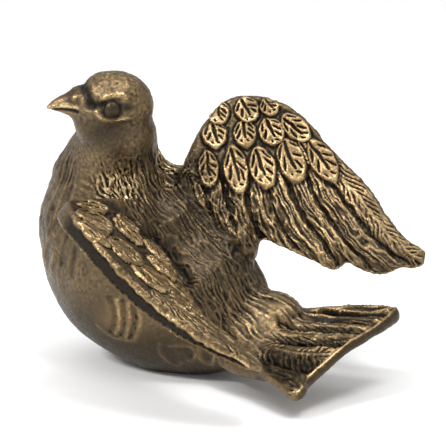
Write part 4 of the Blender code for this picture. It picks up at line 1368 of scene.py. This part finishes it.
def bronze_material(dove):
    """Cast bronze, patinated: nearly black in the cuts and where shade is painted, brown on open places,
    golden where it is rubbed, and pale where it is most worn and where highlights are painted.
    """
    material = bpy.data.materials.new("cast bronze, patinated")
    material.use_nodes = True
    tree = material.node_tree
    shader = tree.nodes["Principled BSDF"]
    place = add_node(tree, "ShaderNodeTexCoord", {}, {}).outputs["Object"]
    near_hollow, far_hollow, rubbed, golden, patina_and_shade_dark = (
        add_node(tree, "ShaderNodeAttribute", {"attribute_name": name}, {}).outputs["Fac"]
        for name in READINGS
    )
    grain, cloud = (
        add_node(
            tree, "ShaderNodeTexNoise", {}, {"Vector": place, "Scale": scale, "Detail": NOISE_DETAIL}
        ).outputs["Fac"]
        for scale in (GRAIN_SCALE, CLOUD_SCALE)
    )
    smooth = {"interpolation_type": "SMOOTHSTEP"}
    # Patina gathers in the cuts, and the dark reading adds more patina and painted shade
    cut = brought(tree, near_hollow, CUT_RANGE, **smooth)
    crease = brought(tree, far_hollow, CREASE_RANGE, **smooth)
    dark = combined(tree, "MAXIMUM", combined(tree, "MAXIMUM", cut, crease), patina_and_shade_dark)
    # High places are rubbed, less so where the clouds are thick
    high = brought(tree, near_hollow, HIGH_RANGE, **smooth)
    speckled = brought(tree, grain, SPECKLE_RANGE)
    clouded = combined(tree, "MULTIPLY", brought(tree, cloud, CLOUD_RANGE), speckled)
    worn = combined(tree, "MULTIPLY", combined(tree, "MULTIPLY", high, rubbed), clouded)
    worn = combined(tree, "MAXIMUM", worn, combined(tree, "MULTIPLY", golden, clouded))
    gold = brought(tree, worn, GOLD_RANGE)
    # The most worn places are bright, pale metal, and the same colour paints highlights on leaf tips, the
    # neck, lids, brows and the beak's edge
    bare_and_glints = brought(tree, worn, BARE_AND_GLINT_RANGE, **smooth)
    colour = blended(tree, bare_and_glints, blended(tree, gold, dove.patina, dove.rubbed), dove.polished_and_glints)
    tree.links.new(blended(tree, dark, colour, dove.hollow), shader.inputs["Base Color"])
    tree.links.new(brought(tree, gold, METAL_RANGE), shader.inputs["Metallic"])
    rough = combined(tree, "MULTIPLY", brought(tree, gold, ROUGHNESS_RANGE), speckled)
    tree.links.new(rough, shader.inputs["Roughness"])
    relief = {"Height": grain, "Strength": GRAIN_STRENGTH, "Distance": dove.grain}
    relief = add_node(tree, "ShaderNodeBump", {}, relief).outputs[0]
    tree.links.new(relief, shader.inputs["Normal"])
    return material


class OBJECT_OT_cast_dove(bpy.types.Operator):
    """Models the dove as one casting, carves it and gives it its bronze"""

    bl_idname = "object.cast_dove"
    bl_label = "Cast dove"

    def execute(self, context):
        settings = context.scene.dove_settings
        forms = [
            (body_form(), LEAN),
            (tail_form(), LEAN),
            (egg_form(RUMP_CENTRE, RUMP_RADII), LEAN),
            (egg_form(WEB_CENTRE, WEB_RADII), LEAN),
            (egg_form(VENT_CENTRE, VENT_RADII), LEAN),
            (egg_form(SKULL_CENTRE, SKULL_RADII), HEAD_FRAME),
            (egg_form(JAW_CENTRE, JAW_RADII), HEAD_FRAME),
            (beak_form(), HEAD_FRAME),
        ]
        for side in (1.0, -1.0):
            forms.append((wing_form(side), LEAN))
            forms.append((egg_form(mirrored(SHOULDER_CENTRE, side), SHOULDER_RADII), LEAN))
            forms.append((egg_form(mirrored(EYE_PLACE, side), [EYE_RADIUS] * 3), HEAD_FRAME))
        mesh = bpy.data.meshes.new("bronze_dove")
        whole = joined(forms)
        whole.to_mesh(mesh)
        whole.free()
        dove = bpy.data.objects.new("bronze_dove", mesh)
        context.collection.objects.link(dove)
        union = dove.modifiers.new("union", "REMESH")
        union.mode = "VOXEL"
        union.voxel_size = UNION_VOXEL
        apply_modifiers(dove)
        fillet(dove.data)
        finer = dove.modifiers.new("finer", "SUBSURF")
        finer.levels = finer.render_levels = 1
        apply_modifiers(dove)
        surface = Surface(dove.data)
        for carve in (carve_valleys, carve_body, carve_wings, carve_tail, carve_face):
            carve(surface, settings.carving)
            surface.refresh()
        readings = (*shape_reading(surface), surface.rubbed, surface.golden, surface.patina_and_shade_dark)
        for name, values in zip(READINGS, readings):
            add_reading(dove.data, name, values)
        thin = dove.modifiers.new("thin", "DECIMATE")
        thin.ratio = FACE_BUDGET / (2 * len(dove.data.polygons))
        apply_modifiers(dove)
        settle(dove.data)
        dove.data.materials.clear()
        dove.data.materials.append(bronze_material(settings))
        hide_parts("dove_casting")
        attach(dove, "root")
        return {"FINISHED"}


def soft_light(name, place, size, power):
    data = bpy.data.lights.new(name, "AREA")
    data.shape = "DISK"
    data.size = size
    data.energy = power
    light = bpy.data.objects.new(name, data)
    bpy.context.collection.objects.link(light)
    light.location = place
    light.rotation_euler = (Vector(LIGHT_AIM) - Vector(place)).to_track_quat("-Z", "Y").to_euler()


class SCENE_OT_pale_studio(bpy.types.Operator):
    """Adds the pale floor, the soft lights and the camera"""

    bl_idname = "scene.pale_studio"
    bl_label = "Pale studio"

    def execute(self, context):
        studio = context.scene.studio_settings
        bm = bmesh.new()
        bmesh.ops.create_grid(bm, x_segments=1, y_segments=1, size=FLOOR_HALF_SIZE)
        mesh = bpy.data.meshes.new("floor")
        bm.to_mesh(mesh)
        bm.free()
        floor = bpy.data.objects.new("floor", mesh)
        context.collection.objects.link(floor)
        material = bpy.data.materials.new("matt paper, white")
        material.use_nodes = True
        shader = material.node_tree.nodes["Principled BSDF"]
        shader.inputs["Base Color"].default_value = studio.floor_colour
        shader.inputs["Roughness"].default_value = FLOOR_ROUGHNESS
        floor.data.materials.append(material)

        world = bpy.data.worlds.new("pale room")
        world.use_nodes = True
        backdrop = world.node_tree.nodes["Background"]
        backdrop.inputs["Color"].default_value = WHITE
        backdrop.inputs["Strength"].default_value = ROOM_BRIGHTNESS
        context.scene.world = world
        for name, (place, size, share) in SOFT_LIGHTS.items():
            soft_light(name, place, size, share * studio.key_power)
        sky = bpy.data.objects.new("ceiling light", bpy.data.lights.new("ceiling light", "SUN"))
        sky.data.energy = CEILING_BRIGHTNESS
        sky.data.angle = CEILING_SPREAD
        context.collection.objects.link(sky)

        level = cos(CAMERA_HEIGHT)
        back = Vector((sin(CAMERA_BEARING) * level, -cos(CAMERA_BEARING) * level, sin(CAMERA_HEIGHT)))
        right = Vector((cos(CAMERA_BEARING), sin(CAMERA_BEARING), 0.0))
        up = back.cross(right)
        data = bpy.data.cameras.new("camera")
        data.sensor_width = SENSOR_WIDTH
        data.lens = CAMERA_LENS
        data.clip_start = 0.01
        camera = bpy.data.objects.new("camera", data)
        context.collection.objects.link(camera)
        centre = FORM_PLACE + CENTRE_RIGHT * right + CENTRE_UP * up
        turn = Matrix((right, up, back)).transposed().to_4x4()
        camera.matrix_world = Matrix.Translation(centre + CAMERA_DISTANCE * back) @ turn
        context.scene.camera = camera
        context.scene.view_settings.view_transform = "Standard"
        return {"FINISHED"}


class VIEW3D_PT_dove(bpy.types.Panel):
    """Lists the sizes, colours and steps"""

    bl_label = "Cast dove"
    bl_space_type = "VIEW_3D"
    bl_region_type = "UI"
    bl_category = "Dove"

    def draw(self, context):
        for settings, step in (
            (context.scene.dove_settings, OBJECT_OT_cast_dove),
            (context.scene.studio_settings, SCENE_OT_pale_studio),
        ):
            for name in settings.__annotations__:
                self.layout.prop(settings, name)
            self.layout.operator(step.bl_idname)


CLASSES = (DoveSettings, StudioSettings, OBJECT_OT_cast_dove, SCENE_OT_pale_studio, VIEW3D_PT_dove)


def register():
    for item in CLASSES:
        bpy.utils.register_class(item)
    bpy.types.Scene.dove_settings = bpy.props.PointerProperty(type=DoveSettings)
    bpy.types.Scene.studio_settings = bpy.props.PointerProperty(type=StudioSettings)


def unregister():
    del bpy.types.Scene.dove_settings
    del bpy.types.Scene.studio_settings
    for item in reversed(CLASSES):
        bpy.utils.unregister_class(item)


def main():
    register()
    bpy.ops.object.cast_dove()
    bpy.ops.scene.pale_studio()


if __name__ == "__main__":
    main()
